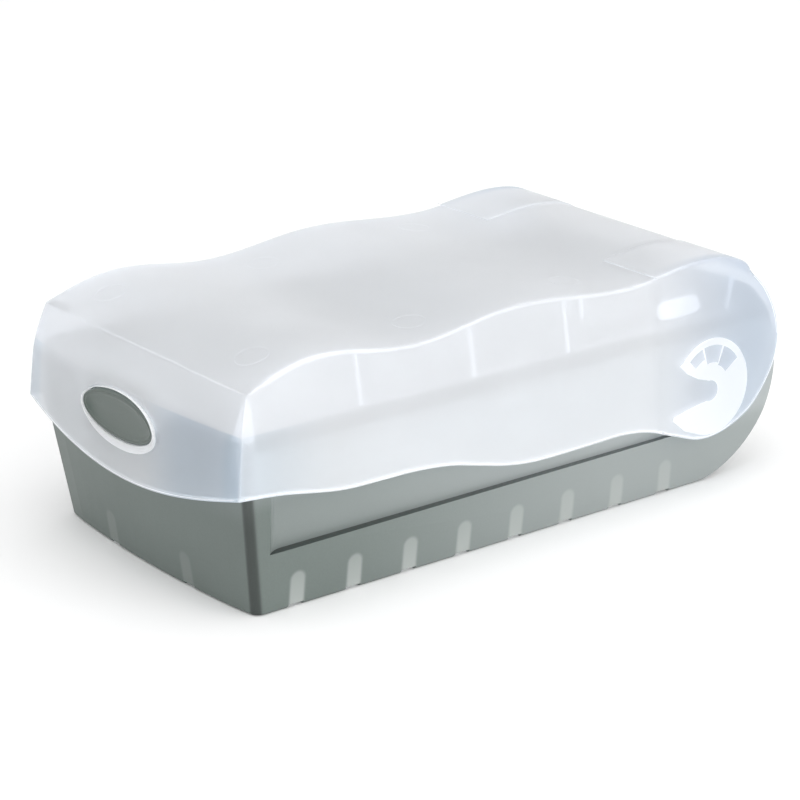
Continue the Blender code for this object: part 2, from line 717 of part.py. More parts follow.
def make_tongue():
    rows = []
    columns = 12
    for z in (level * MM for level in TONGUE_LEVELS):
        round_off = max(0.0, (z - TONGUE_SHOULDER_Z) / (TONGUE_TOP_Z - TONGUE_SHOULDER_Z))
        width = TONGUE_TOP_SHARE + (1 - TONGUE_TOP_SHARE) * math.sqrt(1 - round_off**2)
        half = TONGUE_HALF_WIDTH * width
        shares = [2 * i / columns - 1 for i in range(columns + 1)]
        rows.append([(s * half, tongue_y(s * half, z), z) for s in shares])
    bm = bmesh.new()
    sheet(bm, rows)
    tongue = add_object("latch_tongue", bm, PARTS)
    if tongue.data.polygons[0].normal.y > 0:
        tongue.data.flip_normals()
    thick = tongue.modifiers.new("wall", "SOLIDIFY")
    thick.thickness = TRAY_WALL
    thick.offset = -1
    return tongue


def make_button():
    """An oval cap that fills the lid's window from behind: a raised bead round a shallow dish."""
    steps = OVAL_STEPS
    back = TONGUE_BACK_Y - TONGUE_BOW - GAP
    bm = bmesh.new()

    def face_y(x, z, depth):
        return lid_front_y(x, z) + LID_WALL + BUTTON_CLEARANCE + depth

    def ring(share, y_of):
        loop = oval(BUTTON_HALF_X * share, BUTTON_HALF_Z * share, steps)
        return [bm.verts.new((x, y_of(x, z), z)) for x, z in loop]

    loops = [ring(share, lambda x, z, d=depth * MM: face_y(x, z, d))
             for share, depth in BUTTON_RINGS]
    loops.append(ring(BUTTON_BACK_SHARE, lambda x, z: back))
    front = bm.verts.new((0, face_y(0, OVAL_Z, BUTTON_CENTRE_DEPTH), OVAL_Z))
    for i in range(steps):
        j = (i + 1) % steps
        bm.faces.new((front, loops[0][i], loops[0][j]))
        for inner, outer in zip(loops, loops[1:]):
            bm.faces.new((inner[i], outer[i], outer[j], inner[j]))
    bm.faces.new(loops[-1])
    return add_object("latch_button", bm, PARTS)


# ---------------------------------------------------------------- support plate


def make_plate():
    """A card follower that stands in one pair of foot slots and leans back."""
    half = PLATE_HALF_WIDTH
    tab_inner = SLOT_INNER_X + 0.5 * MM
    corner = arc((half - PLATE_CORNER, PLATE_HEIGHT - PLATE_CORNER), PLATE_CORNER, 0, 90, 8)
    tab = [(tab_inner, PLATE_BOTTOM), (tab_inner, PLATE_TAB_END), (half, PLATE_TAB_END)]
    right = tab + corner
    left = [(-x, z) for x, z in reversed(right)]
    plate = extruded("support_plate", [right + left], PLATE_THICKNESS / 2, along_y(), PARTS)
    y = SLOT_FIRST_Y + PLATE_SLOT * SLOT_PITCH
    stand = Matrix.Translation((0, y, PLATE_FOOT_Z))
    plate.data.transform(stand @ Matrix.Rotation(-PLATE_LEAN, 4, "X"))
    return plate


# ---------------------------------------------------------------- the box


clear_scene()
PARTS = make_collection("card_index_box")
CUTTERS = make_collection("cutters")
ROOT = make_empty("foot_line", (0, FOOT_LINE_Y, 0))

SMOKE = material("smoke_grey_plastic", (0.24, 0.27, 0.25), 0.42, 0.3)
DARK = material("dark_grey_plastic", (0.11, 0.14, 0.125), 0.35)
FROSTED = material("frosted_clear_plastic", (0.86, 0.9, 0.93), 0.45, 0.6)

lid_axis = make_empty("lid_axis", (0, PIVOT_Y, PIVOT_Z), ROOT)
latch_axis = make_empty("latch_axis", (0, tongue_y(0, TONGUE_BOTTOM_Z) + TRAY_WALL / 2,
                                       TONGUE_BOTTOM_Z), ROOT)
plate_axis = make_empty("plate_axis", (0, SLOT_FIRST_Y + PLATE_SLOT * SLOT_PITCH,
                                       PLATE_FOOT_Z), ROOT)

PIECES = [(make_tray(), ROOT, SMOKE), (make_lid(), lid_axis, FROSTED),
          (make_tongue(), latch_axis, SMOKE), (make_button(), latch_axis, DARK),
          (make_plate(), plate_axis, SMOKE)]

for piece, axis, finish in PIECES:
    piece.data.materials.append(finish)
    smooth(piece)
    hang(piece, axis)

for cutter in CUTTERS.objects:
    hang(cutter, ROOT)
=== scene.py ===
"""Card index box: a smoke grey tray under a frosted lid, on a pale floor in soft light.

X runs across the box, the latch is at its -Y end and +Z is up. The lid's shapes are laid out in
millimetres, with Y measured from the foot of the tray's front, and LID_MM takes them into the
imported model's frame. The camera, the lights and the materials are placed in that frame."""

import math

import bmesh
import bpy
from mathutils import Matrix, Vector
from mathutils.geometry import delaunay_2d_cdt


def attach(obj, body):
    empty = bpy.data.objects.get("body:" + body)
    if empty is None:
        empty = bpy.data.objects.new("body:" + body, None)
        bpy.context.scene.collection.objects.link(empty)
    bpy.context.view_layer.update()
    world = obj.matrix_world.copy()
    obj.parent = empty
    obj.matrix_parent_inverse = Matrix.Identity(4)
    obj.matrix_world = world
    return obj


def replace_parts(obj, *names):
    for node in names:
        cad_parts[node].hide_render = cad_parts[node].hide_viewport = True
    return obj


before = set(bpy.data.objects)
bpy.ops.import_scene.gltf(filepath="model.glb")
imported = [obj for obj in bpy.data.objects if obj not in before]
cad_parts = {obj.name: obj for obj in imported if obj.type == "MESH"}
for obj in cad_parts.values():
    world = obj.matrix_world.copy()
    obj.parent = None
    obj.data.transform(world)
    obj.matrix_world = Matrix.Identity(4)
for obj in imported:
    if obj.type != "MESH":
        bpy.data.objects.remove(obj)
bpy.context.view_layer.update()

MM = 0.001
TRAY_FRONT = 0.1051  # how far the foot of the tray's front lies from the frame's origin

# ---------------------------------------------------------------- camera, light and floor

EYE = Vector((696.86, -543.51, 351.76)) * MM
AZIMUTH = math.radians(52.31)
ELEVATION = math.radians(19.79)
LENS_MM, SENSOR_MM = 122.04, 36.0
NEAR_CLIP, FAR_CLIP = 0.05, 20.0
SKY_LOW, SKY_HIGH, SKY_BRIGHT_SIDE = 0.24, 1.3, (0.85, 0.3, 0.45)
BOX_MIDDLE = (0, 0, 0.04)
# (name, size, power, place, aim)
LIGHTS = [("side", 0.9, 4.5, (1.2, 0.35, 0.5), BOX_MIDDLE),
          ("top", 1.0, 3.2, (0.2, -0.4, 1.3), BOX_MIDDLE),
          ("front_left", 0.3, 0.3, (-0.38, -0.42, 0.18), (0, -0.1, 0.04))]
FLOOR_HALF, FLOOR_NEAR, FLOOR_FAR = 6.0, -3.0, 4.0
BACKDROP_TOP, BACKDROP_RADIUS, BACKDROP_STEPS = 6.0, 1.5, 12


def make_camera():
    data = bpy.data.cameras.new("camera")
    data.lens = LENS_MM
    data.sensor_width = SENSOR_MM
    data.clip_start = NEAR_CLIP
    data.clip_end = FAR_CLIP
    camera = bpy.data.objects.new("camera", data)
    camera.location = EYE
    camera.rotation_euler = (math.pi / 2 - ELEVATION, 0, AZIMUTH)
    bpy.context.scene.collection.objects.link(camera)
    bpy.context.scene.camera = camera


def make_light(name, size, power, place, aim):
    data = bpy.data.lights.new(name, "AREA")
    data.shape = "SQUARE"
    data.size = size
    data.energy = power
    light = bpy.data.objects.new(name, data)
    light.location = place
    light.rotation_euler = (Vector(aim) - Vector(place)).to_track_quat("-Z", "Y").to_euler()
    bpy.context.scene.collection.objects.link(light)


def make_world(low, high, bright_side):
    """A sky that brightens evenly from one side of the studio to the other."""
    world = bpy.data.worlds.new("studio")
    world.use_nodes = True
    tree = world.node_tree
    place = tree.nodes.new("ShaderNodeTexCoord")
    along_side = tree.nodes.new("ShaderNodeVectorMath")
    along_side.operation = "DOT_PRODUCT"
    along_side.inputs[1].default_value = Vector(bright_side).normalized()
    level = tree.nodes.new("ShaderNodeMapRange")
    level.inputs["From Min"].default_value = -1.0
    level.inputs["To Min"].default_value = low
    level.inputs["To Max"].default_value = high
    background = tree.nodes["Background"]
    background.inputs["Color"].default_value = (1, 1, 1, 1)
    tree.links.new(place.outputs["Generated"], along_side.inputs[0])
    tree.links.new(along_side.outputs["Value"], level.inputs["Value"])
    tree.links.new(level.outputs["Result"], background.inputs["Strength"])
    bpy.context.scene.world = world


def new_material(name):
    material = bpy.data.materials.new(name)
    material.use_nodes = True
    material.node_tree.nodes.clear()
    return material, material.node_tree


def add(tree, kind, **settings):
    """A node with its settings; a key that names a socket sets that socket's value."""
    node = tree.nodes.new(kind)
    for key, value in settings.items():
        if hasattr(node, key):
            setattr(node, key, value)
        else:
            node.inputs[key.replace("_", " ")].default_value = value
    return node


def floor_material():
    material, tree = new_material("pale_floor")
    noise = add(tree, "ShaderNodeTexNoise", Scale=3.0, Detail=3.0)
    ramp = add(tree, "ShaderNodeValToRGB")
    ramp.color_ramp.elements[0].color = (0.93, 0.93, 0.93, 1)
    ramp.color_ramp.elements[1].color = (0.97, 0.97, 0.97, 1)
    shader = add(tree, "ShaderNodeBsdfPrincipled", Roughness=0.9)
    out = add(tree, "ShaderNodeOutputMaterial")
    tree.links.new(noise.outputs["Fac"], ramp.inputs["Fac"])
    tree.links.new(ramp.outputs["Color"], shader.inputs["Base Color"])
    tree.links.new(shader.outputs[0], out.inputs["Surface"])
    return material


def make_floor():
    """A floor that curves up into a backdrop far behind the box."""
    bend = FLOOR_FAR - BACKDROP_RADIUS
    profile = [(FLOOR_NEAR, 0.0), (bend, 0.0)]
    for step in range(1, BACKDROP_STEPS + 1):
        a = math.radians(90 * step / BACKDROP_STEPS)
        profile.append((bend + BACKDROP_RADIUS * math.sin(a),
                        BACKDROP_RADIUS - BACKDROP_RADIUS * math.cos(a)))
    profile.append((FLOOR_FAR, BACKDROP_TOP))
    turn = Matrix.Rotation(AZIMUTH, 4, "Z")
    bm = bmesh.new()
    left, right = [[bm.verts.new(turn @ Vector((x, y, z))) for y, z in profile]
                   for x in (-FLOOR_HALF, FLOOR_HALF)]
    for i in range(len(profile) - 1):
        bm.faces.new((left[i], right[i], right[i + 1], left[i + 1]))
    smooth_faces(bm)
    floor = as_object("floor", bm)
    bpy.context.scene.collection.objects.link(floor)
    floor.data.materials.append(floor_material())


# ---------------------------------------------------------------- small helpers

LID_MM = Matrix.Translation((0, -TRAY_FRONT, 0)) @ Matrix.Scale(MM, 4)
SAME_POINT = 0.001  # points of one piece that lie this close, in millimetres, are one
WELD_REACH = 0.000005  # how far the welds after a bevel or a cut reach, in metres
SHARP_ANGLE = math.radians(35)


def as_object(name, bm):
    """An object from a mesh under construction, which is used up."""
    mesh = bpy.data.meshes.new(name)
    bm.to_mesh(mesh)
    bm.free()
    return bpy.data.objects.new(name, mesh)


def smooth_faces(bm):
    for face in bm.faces:
        face.smooth = True


def weld(piece):
    """Closes the zero length edges that a bevel or a cut leaves."""
    closed = piece.modifiers.new("weld", "WELD")
    closed.merge_threshold = WELD_REACH


def round_edges(piece, width):
    """Rounds a piece's sharp edges, by a width in millimetres."""
    rounded = piece.modifiers.new("rounded", "BEVEL")
    rounded.width = width * MM
    rounded.segments = 2
    rounded.limit_method = "ANGLE"
    rounded.angle_limit = SHARP_ANGLE


def add_piece(name, bm, body, material, bevel=0.0):
    """A finished piece from a mesh laid out in millimetres, see LID_MM."""
    bmesh.ops.remove_doubles(bm, verts=bm.verts, dist=SAME_POINT)
    piece = as_object(name, bm)
    piece.data.transform(LID_MM)
    bpy.context.scene.collection.objects.link(piece)
    piece.data.materials.append(material)
    if bevel:
        round_edges(piece, bevel)
        weld(piece)
    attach(piece, body)
    return piece


def sheet(bm, rows):
    """A surface through rows of points, all rows as long as the first."""
    grid = [[bm.verts.new(point) for point in row] for row in rows]
    for upper, lower in zip(grid, grid[1:]):
        for i in range(len(upper) - 1):
            bm.faces.new((upper[i], upper[i + 1], lower[i + 1], lower[i]))


def join_rings(bm, rings, turned=False):
    """Walls from each closed ring of vertices to the next. Turned, the corners of every wall
    run the other way round."""
    for lower, upper in zip(rings, rings[1:]):
        for i in range(len(lower)):
            j = (i + 1) % len(lower)
            bm.faces.new((lower[j], lower[i], upper[i], upper[j]) if turned else
                         (lower[i], lower[j], upper[j], upper[i]))


def capped(bm, sections, turned=False):
    """A solid through closed sections of points, with a cap on the first and the last."""
    rings = [[bm.verts.new(point) for point in section] for section in sections]
    bm.faces.new(rings[0] if turned else rings[0][::-1])
    bm.faces.new(rings[-1][::-1] if turned else rings[-1])
    join_rings(bm, rings, turned)


def smooth_line(points, steps):
    """Points along a Catmull-Rom curve through the given points, ends included."""
    ends = [points[0]] + list(points) + [points[-1]]
    line = []
    for before, start, stop, after in zip(ends, ends[1:], ends[2:], ends[3:]):
        for step in range(steps):
            t = step / steps
            line.append(tuple(
                0.5 * (2 * b + (c - a) * t + (2 * a - 5 * b + 4 * c - d) * t**2
                       + (3 * b - a - 3 * c + d) * t**3)
                for a, b, c, d in zip(before, start, stop, after)))
    return line + [tuple(points[-1])]


def along(line, u):
    """The second value of a line of pairs, where its rising first value is u."""
    for (u0, v0), (u1, v1) in zip(line, line[1:]):
        if u <= u1:
            return v0 + (v1 - v0) * (u - u0) / (u1 - u0)
    return line[-1][1]


def steps_between(start, stop, count):
    return [start + (stop - start) * i / count for i in range(count + 1)]


def turns(count):
    """Angles evenly round a circle."""
    return [2 * math.pi * i / count for i in range(count)]


make_camera()
make_world(SKY_LOW, SKY_HIGH, SKY_BRIGHT_SIDE)
make_floor()
for settings in LIGHTS:
    make_light(*settings)

bpy.context.scene.view_settings.view_transform = "Standard"

# ---------------------------------------------------------------- the lid's shape

LID_WALL = 1.4
SKIRT_HALF, SKIRT_Z = 62.5, 44.3
SIDE_SLOPE, TOP_LEAN = 0.057, 0.2
BEND_LOW, BEND_HIGH = 57.0, 70.0  # where the walls turn from one slope to the other
FOLD_Y, FOLD_Z = -4.1, 75.9
FRONT_SLOPE, FRONT_LEAN = 0.0885, 0.3145
FRONT_CORNER_Y = -9.7
BULGE, BULGE_FULL_Z, BULGE_FADE = 5.4, 56.0, 0.11
SEAM_Y, SEAM_STEP, SEAM_WIDTH = 163.5, 0.35, 0.8
PANEL_HALF_X, PANEL_RAISE = 31.0, 0.45
LID_REAR_Y = 207.6
SMILE_STEP, SMILE_DROP, SMILE_FLATTEN = 0.6, 10.2, 2.15  # the front's lower edge
TOP_WAVE = [(FOLD_Y, FOLD_Z), (24, 82.8), (61, 79.0), (105, 83.2), (152, 80.0), (186, 83.0),
            (LID_REAR_Y, 75.6)]
SIDE_EDGE = [(FRONT_CORNER_Y, 43.9), (-7.5, 43.6), (7, 42.1), (28, 38.6), (45, 38.1),
             (58, 37.9), (72, 36.5), (85, 33.5), (97, 30.8), (110, 29.6), (131, 29.8),
             (146, 30.0), (158, 28.4), (170, 24.4), (181, 20.8), (190, 20.9), (200, 23.9),
             (208, 28.9), (215.5, 38.2), (219.2, 48.4), (218.4, 58.2), (213.8, 68.8),
             (LID_REAR_Y, 75.6)]
OVAL_Z, OVAL_HALF_X, OVAL_HALF_Z = 54.4, 21.6, 8.3


def lean_in(z, below, above):
    """How far a wall has come in by height z, measured from SKIRT_Z."""
    into = min(max(z - BEND_LOW, 0.0), BEND_HIGH - BEND_LOW)
    turned = (above - below) * into**2 / (2 * (BEND_HIGH - BEND_LOW))
    return below * (z - SKIRT_Z) + turned + (above - below) * max(z - BEND_HIGH, 0.0)


def ramp(y):
    """0 in front of the seam, 1 behind it."""
    return min(1.0, max(0.0, (y - SEAM_Y) / SEAM_WIDTH))


def half_width(y, z):
    return SKIRT_HALF - lean_in(z, SIDE_SLOPE, TOP_LEAN) + SEAM_STEP * ramp(y)


def corner_y(z):
    return FRONT_CORNER_Y + lean_in(z, FRONT_SLOPE, FRONT_LEAN)


def front_y(x, z):
    t = min(1.0, max(0.0, (FOLD_Z - z) / (FOLD_Z - BULGE_FULL_Z)))
    bulge = BULGE * math.sin(math.pi / 2 * t) - BULGE_FADE * max(0.0, BULGE_FULL_Z - z)
    return corner_y(z) - bulge * (1 - (x / half_width(0, z)) ** 2)


def wave_z(y):
    """Height of the lid's top, which rises and falls between the points of TOP_WAVE."""
    last = len(TOP_WAVE) - 2
    for i, ((y0, z0), (y1, z1)) in enumerate(zip(TOP_WAVE, TOP_WAVE[1:])):
        if y <= y1 or i == last:
            t = min(1.0, max(0.0, (y - y0) / (y1 - y0)))
            if i == 0:
                share = math.sin(math.pi / 2 * t)
            elif i == last:
                share = 1 - math.sqrt(max(0.0, 1 - t * t))
            else:
                share = (1 - math.cos(math.pi * t)) / 2
            return z0 + (z1 - z0) * share
    return TOP_WAVE[-1][1]


def edge_z(y):
    """Height of the lid's top along its sides."""
    return wave_z(y) + PANEL_RAISE * ramp(y)


EDGE_LINE = smooth_line(SIDE_EDGE, 8)
TURN = max(range(len(EDGE_LINE)), key=lambda i: EDGE_LINE[i][0])
LOW_EDGE = EDGE_LINE[:TURN + 1]
LOBE_EDGE = EDGE_LINE[:TURN - 1:-1]


def smile_z(x):
    """Height of the front's lower edge, which hangs down in the middle."""
    out = (x / SKIRT_HALF) ** 2
    return SKIRT_Z - SMILE_STEP - (SMILE_DROP - SMILE_FLATTEN * out) * max(0.0, 1 - out)


# where the lid is sampled along Y, and from a wall's top edge (0) to its lower edge (1)
REAR_YS = [SEAM_Y, SEAM_Y + SEAM_WIDTH] + steps_between(167, 186, 6) + \
    [189.5, 193, 196, 198.5, 200.8, 202.8, 204.5, 205.8, 206.8, 207.3, LID_REAR_Y]
TOP_YS = steps_between(0, 159.8, 47) + REAR_YS
LOBE_YS = steps_between(LID_REAR_Y, LOW_EDGE[-1][0], 12)[1:]
ROWS = [0.0, 0.03, 0.07, 0.13, 0.2, 0.28, 0.36, 0.44, 0.52, 0.6, 0.68, 0.76, 0.83, 0.89, 0.93,
        0.96, 0.98, 1.0]


def side_column(y):
    """Points down the lid's side, from its top edge to its lower edge. With no y they run down
    the front corner."""
    if y is None:
        high, low = FOLD_Z, smile_z(SKIRT_HALF)
    elif y <= LID_REAR_Y:
        high, low = edge_z(y), along(LOW_EDGE, y)
    else:
        high, low = along(LOBE_EDGE, y), along(LOW_EDGE, y)
    points = []
    for row in ROWS:
        z = high + (low - high) * row
        at = corner_y(z) if y is None else y
        points.append((half_width(at, z), at, z))
    return points


INNER_XS = steps_between(0, PANEL_HALF_X, 8)
OUTER_SHARES = steps_between(0, 1, 10)


def across(half):
    """X of each column of the top and the front, out to the given half width."""
    step = PANEL_HALF_X + SEAM_WIDTH
    right = INNER_XS + [step + (half - step) * share for share in OUTER_SHARES]
    return [-x for x in reversed(right[1:])] + right


def top_row(y):
    row = []
    for x in across(half_width(y, edge_z(y))):
        raised = PANEL_RAISE * ramp(y) if abs(x) > PANEL_HALF_X else 0.0
        row.append((x, y, wave_z(y) + raised))
    return row


def front_row(row):
    points = []
    edges = across(half_width(0, FOLD_Z))
    last = edges[-1]
    for x in edges:
        low = smile_z(x / last * SKIRT_HALF)
        z = FOLD_Z + (low - FOLD_Z) * row
        at = x / last * half_width(0, z)
        points.append((at, front_y(at, z), z))
    return points


FOLD_ANGLE = math.radians(38)  # edges bent more than this are folds, and are rounded
FOLD_WIDTH, SIDE_FOLD_SHARE = 1.5, 0.7
BORDER_GAP = 0.02  # the sheets' borders meet within this
TOP_MIDDLE = Vector((0, 90, 81))
CUT_YS = (-25, -5)  # how far the window's cutter reaches


def make_lid_shell(material):
    """The lid's wall: one sheet bent over the top edges and round the front corners, rounded
    there and thickened inwards, with the oval window cut through its front."""
    bm = bmesh.new()
    sheet(bm, [front_row(row) for row in ROWS])
    sheet(bm, [top_row(y) for y in [FOLD_Y] + TOP_YS])
    for sign in (1, -1):
        columns = [side_column(None)] + [side_column(y) for y in TOP_YS + LOBE_YS]
        sheet(bm, [[(sign * x, y, z) for x, y, z in column] for column in columns])
    bmesh.ops.remove_doubles(bm, verts=bm.verts, dist=BORDER_GAP)
    bmesh.ops.recalc_face_normals(bm, faces=bm.faces)
    middle = min(bm.faces, key=lambda f: (f.calc_center_median() - TOP_MIDDLE).length)
    if middle.normal.z < 0:
        bmesh.ops.reverse_faces(bm, faces=bm.faces)
    weight = bm.edges.layers.float.new("bevel_weight_edge")
    for edge in bm.edges:
        if edge.calc_face_angle(0.0) > FOLD_ANGLE:
            across_front = abs(edge.verts[0].co.y - edge.verts[1].co.y) < 0.01
            edge[weight] = 1.0 if across_front else SIDE_FOLD_SHARE
    smooth_faces(bm)
    shell = add_piece("lid_shell", bm, "lid", material)
    rounded = shell.modifiers.new("rounded", "BEVEL")
    rounded.limit_method = "WEIGHT"
    rounded.width = FOLD_WIDTH * MM
    rounded.segments = 4
    rounded.use_clamp_overlap = True
    wall = shell.modifiers.new("wall", "SOLIDIFY")
    wall.thickness = LID_WALL * MM
    wall.offset = -1
    wall.use_even_offset = True
    window = shell.modifiers.new("window", "BOOLEAN")
    window.operation = "DIFFERENCE"
    window.solver = "EXACT"
    window.object = oval_cutter()
    weld(shell)
    return shell


def oval_cutter():
    """The oval bar that cuts the window out of the lid's front."""
    bm = bmesh.new()
    capped(bm, [[(OVAL_HALF_X * math.cos(a), y, OVAL_Z + OVAL_HALF_Z * math.sin(a))
                 for a in turns(64)] for y in CUT_YS], turned=True)
    bmesh.ops.recalc_face_normals(bm, faces=bm.faces)
    cutter = as_object("oval_cutter", bm)
    cutter.data.transform(LID_MM)
    return cutter


# ---------------------------------------------------------------- the lid's small features

PIVOT_Y, PIVOT_Z = 186.5, 37.2
RIM_Z, RIM_GAP = 63.3, 0.3  # top of the tray's rim, and the ribs' clearance above it
SUNK = 0.3  # how far the small features reach into the lid's wall
RIBS = [(38.5, 0), (84, 0), (124, 0), (131.5, 10)]  # (place, shortening)
RIB_DEPTH, RIB_THICK, RIB_TOP_GAP = 1.5, 0.6, 0.9
RIB_FOOT_DEPTH, RIB_FOOT_THICK, RIB_FOOT_TOP = 2.0, 1.3, 1.2
STOP_TURN, STOP_REACH = math.radians(19.4), (28.5, 41.0)
STOP_DEPTH, STOP_SUNK, STOP_HALF_THICK = 0.8, 0.4, 0.5
GUSSET_FOOT, GUSSET_TOP, GUSSET_TIP_Z = 61.0, FOLD_Z - 1.6, FOLD_Z - 1.0
GUSSET_LEG, GUSSET_TIP = 3.7, 0.4  # how far a gusset reaches along the walls, foot and tip
GUSSET_FOOT_LEG, GUSSET_FOOT_HEIGHT = 4.2, 0.6
EDGE_START, EDGE_STOP = GUSSET_FOOT + 0.5, FOLD_Z - 2.2
EDGE_RADIUS, EDGE_FOOT_RADIUS = 0.2, 0.4
CLIP_MIDDLE, CLIP_RADIUS = (0.8, 1.4), 17.3  # from the pivot
CLIP_SEAT, CLIP_THICK, CLIP_X = 3.6, 3.7, 61.48
CLIP_LOWER_LIP = [(-12.0, -12.2), (-17.6, -7.4), (-17.2, -6.0), (-10.5, -4.5)]
CLIP_UPPER_LIP = [(-5.4, 5.2), (-10.8, 8.2), (-14.2, 11.6)]
CLIP_CELL_OUTER = 14.6
CLIP_CELLS = [(133, 107, 10.8), (103, 69, 8.6), (65, 33, 7.8)]  # (from, to, inner radius)
LIP_INNER, LIP_OUTER, LIP_DROP = (21.1, 8.0), (21.7, 9.6), 1.4
# (share of the way from the inner to the outer edge, height above the front)
LIP_FACE = [(0.0, 0.1), (0.05, 0.36), (0.16, 0.48), (0.5, 0.46), (0.6, 0.32), (0.64, 0.16),
            (0.78, 0.18), (0.92, 0.1), (1.0, -0.15), (0.9, -0.5), (0.4, -0.7)]
LIP_DEPTH, LIP_SPREAD = 2.2, 0.5  # how far the lip goes back into the window, and widens there
BUTTON_HALF, BUTTON_SQUASH = (20.85, 7.5), 0.92
BUTTON_DROP = 0.15  # the cap rises as the latch flexes, so it lies low in the window
# (inset from the edge, depth behind the front)
BUTTON_FACE = [(0.0, 2.2), (0.0, 0.5), (0.12, 0.2), (0.4, 0.0), (0.7, 0.06), (0.95, 0.34),
               (1.15, 0.4), (1.4, 0.2), (1.65, 0.14), (1.95, 0.26), (2.4, 0.62), (3.2, 0.95),
               (4.6, 1.2), (6.6, 1.35)]
RIM_BEAD_IN, RIM_BEAD_LIFT, RIM_BEAD_RADIUS, RIM_BEAD_CORNER = 0.62, 0.5, 0.66, 0.8
# the fillets' distance in from each fold, and their radii; the side's is wider at the front
SIDE_FILLET_IN, CORNER_FILLET_IN, FRONT_FILLET_DOWN = 1.25, 0.95, 0.9
SIDE_FILLET, SIDE_FILLET_LOSS, SIDE_FILLET_LENGTH = 1.0, 0.72, 75
CORNER_FILLET, FRONT_FILLET, FRONT_FILLET_HALF = 0.32, 0.22, 54.0
PANEL_EDGE_OUT, PANEL_EDGE_RISE, PANEL_EDGE_RADIUS, PANEL_EDGE_END = 0.4, 0.2, 0.15, 60.0
# the shoulder pads are painted light: a bright patch where light shines through the rear cheek
PAD_Y, PAD_Z, PAD_HALF_Y, PAD_HALF_Z = 173.6, 69.0, 9.4, 3.2
PAD_RINGS = [(-0.2, 1.0), (0.7, 0.95), (1.0, 0.8)]  # (height off the wall, share of full size)
MARK_X, MARK_YS, MARK_RADIUS, MARK_WIDTH = 41, (10.5, 72.0, 138.0), 5.5, 0.1
MARK_RISE, MARK_HEIGHT = 0.01, 0.05
TO_SIDE = Matrix(((0, 0, 1, 0), (1, 0, 0, 0), (0, 1, 0, 0), (0, 0, 0, 1)))


def arc(centre, radius, start, stop, steps):
    """Points on an arc, with the angles in degrees."""
    angles = [math.radians(a) for a in steps_between(start, stop, steps)]
    return [(centre[0] + radius * math.cos(a), centre[1] + radius * math.sin(a)) for a in angles]


def inside(point, loops):
    """Whether a point lies within the outer loop and outside its holes."""
    crossings = 0
    for loop in loops:
        for (x0, y0), (x1, y1) in zip(loop, loop[1:] + loop[:1]):
            if (y0 > point[1]) != (y1 > point[1]):
                crossings += point[0] < x0 + (x1 - x0) * (point[1] - y0) / (y1 - y0)
    return crossings % 2 == 1


def outline_mesh(loops, thickness):
    """A flat outline with holes, thickened both ways from its plane."""
    points, edges = [], []
    for loop in loops:
        first, count = len(points), len(loop)
        points += [Vector(point) for point in loop]
        edges += [(first + i, first + (i + 1) % count) for i in range(count)]
    flat, _, triangles, *_ = delaunay_2d_cdt(points, edges, [], 0, 1e-4)
    bm = bmesh.new()
    verts = [bm.verts.new((x, y, -thickness / 2)) for x, y in flat]
    for triangle in triangles:
        if inside(sum((flat[i] for i in triangle), Vector((0, 0))) / 3, loops):
            bm.faces.new([verts[i] for i in triangle])
    solid = bmesh.ops.extrude_face_region(bm, geom=bm.faces[:])["geom"]
    moved = [g for g in solid if isinstance(g, bmesh.types.BMVert)]
    bmesh.ops.translate(bm, vec=(0, 0, thickness), verts=moved)
    bmesh.ops.recalc_face_normals(bm, faces=bm.faces)
    return bm


def mirrored(bm):
    """Adds the other side's copy, mirrored in the plane X = 0."""
    copy = bmesh.ops.duplicate(bm, geom=bm.verts[:] + bm.edges[:] + bm.faces[:])["geom"]
    verts = [g for g in copy if isinstance(g, bmesh.types.BMVert)]
    faces = [g for g in copy if isinstance(g, bmesh.types.BMFace)]
    bmesh.ops.scale(bm, vec=(-1, 1, 1), verts=verts)
    bmesh.ops.reverse_faces(bm, faces=faces)
    return bm


def make_clips(material):
    """The open hook on each cheek that holds a pivot stud, its face just proud of the cheek: ribs
    round open cells above, solid below."""
    bow = arc(CLIP_MIDDLE, CLIP_RADIUS, 140, -108, 48)
    seat = arc((0, 0), CLIP_SEAT, -116, 96, 18)
    loops = [bow + CLIP_LOWER_LIP + seat + CLIP_UPPER_LIP]
    for start, stop, inner in CLIP_CELLS:
        loops.append(arc(CLIP_MIDDLE, CLIP_CELL_OUTER, start, stop, 8)
                     + arc(CLIP_MIDDLE, inner, stop, start, 6))
    bm = outline_mesh(loops, CLIP_THICK)
    lean = Matrix.Rotation(-math.atan(SIDE_SLOPE), 4, "Y")
    place = Matrix.Translation((CLIP_X, PIVOT_Y, PIVOT_Z)) @ lean @ TO_SIDE
    bmesh.ops.transform(bm, matrix=place, verts=bm.verts)
    return add_piece("hinge_clips", mirrored(bm), "lid", material, bevel=0.25)


def bar(bm, low, high, wide, thick, y):
    """An upright rib on the lid's side wall, from one height to another."""
    sections = []
    for z in steps_between(low, high, 4):
        wall = half_width(y, z) - LID_WALL + SUNK
        sections.append([(wall - wide, y - thick / 2, z), (wall, y - thick / 2, z),
                         (wall, y + thick / 2, z), (wall - wide, y + thick / 2, z)])
    capped(bm, sections)


def make_ribs(material):
    """Stand-off ribs that come down on the tray's rim, with a short one beside the last."""
    bm = bmesh.new()
    for y, drop in RIBS:
        bar(bm, RIM_Z + RIM_GAP + drop, wave_z(y) - RIB_TOP_GAP, RIB_DEPTH, RIB_THICK, y)
    return add_piece("stand_off_ribs", mirrored(bm), "lid", material, bevel=0.15)


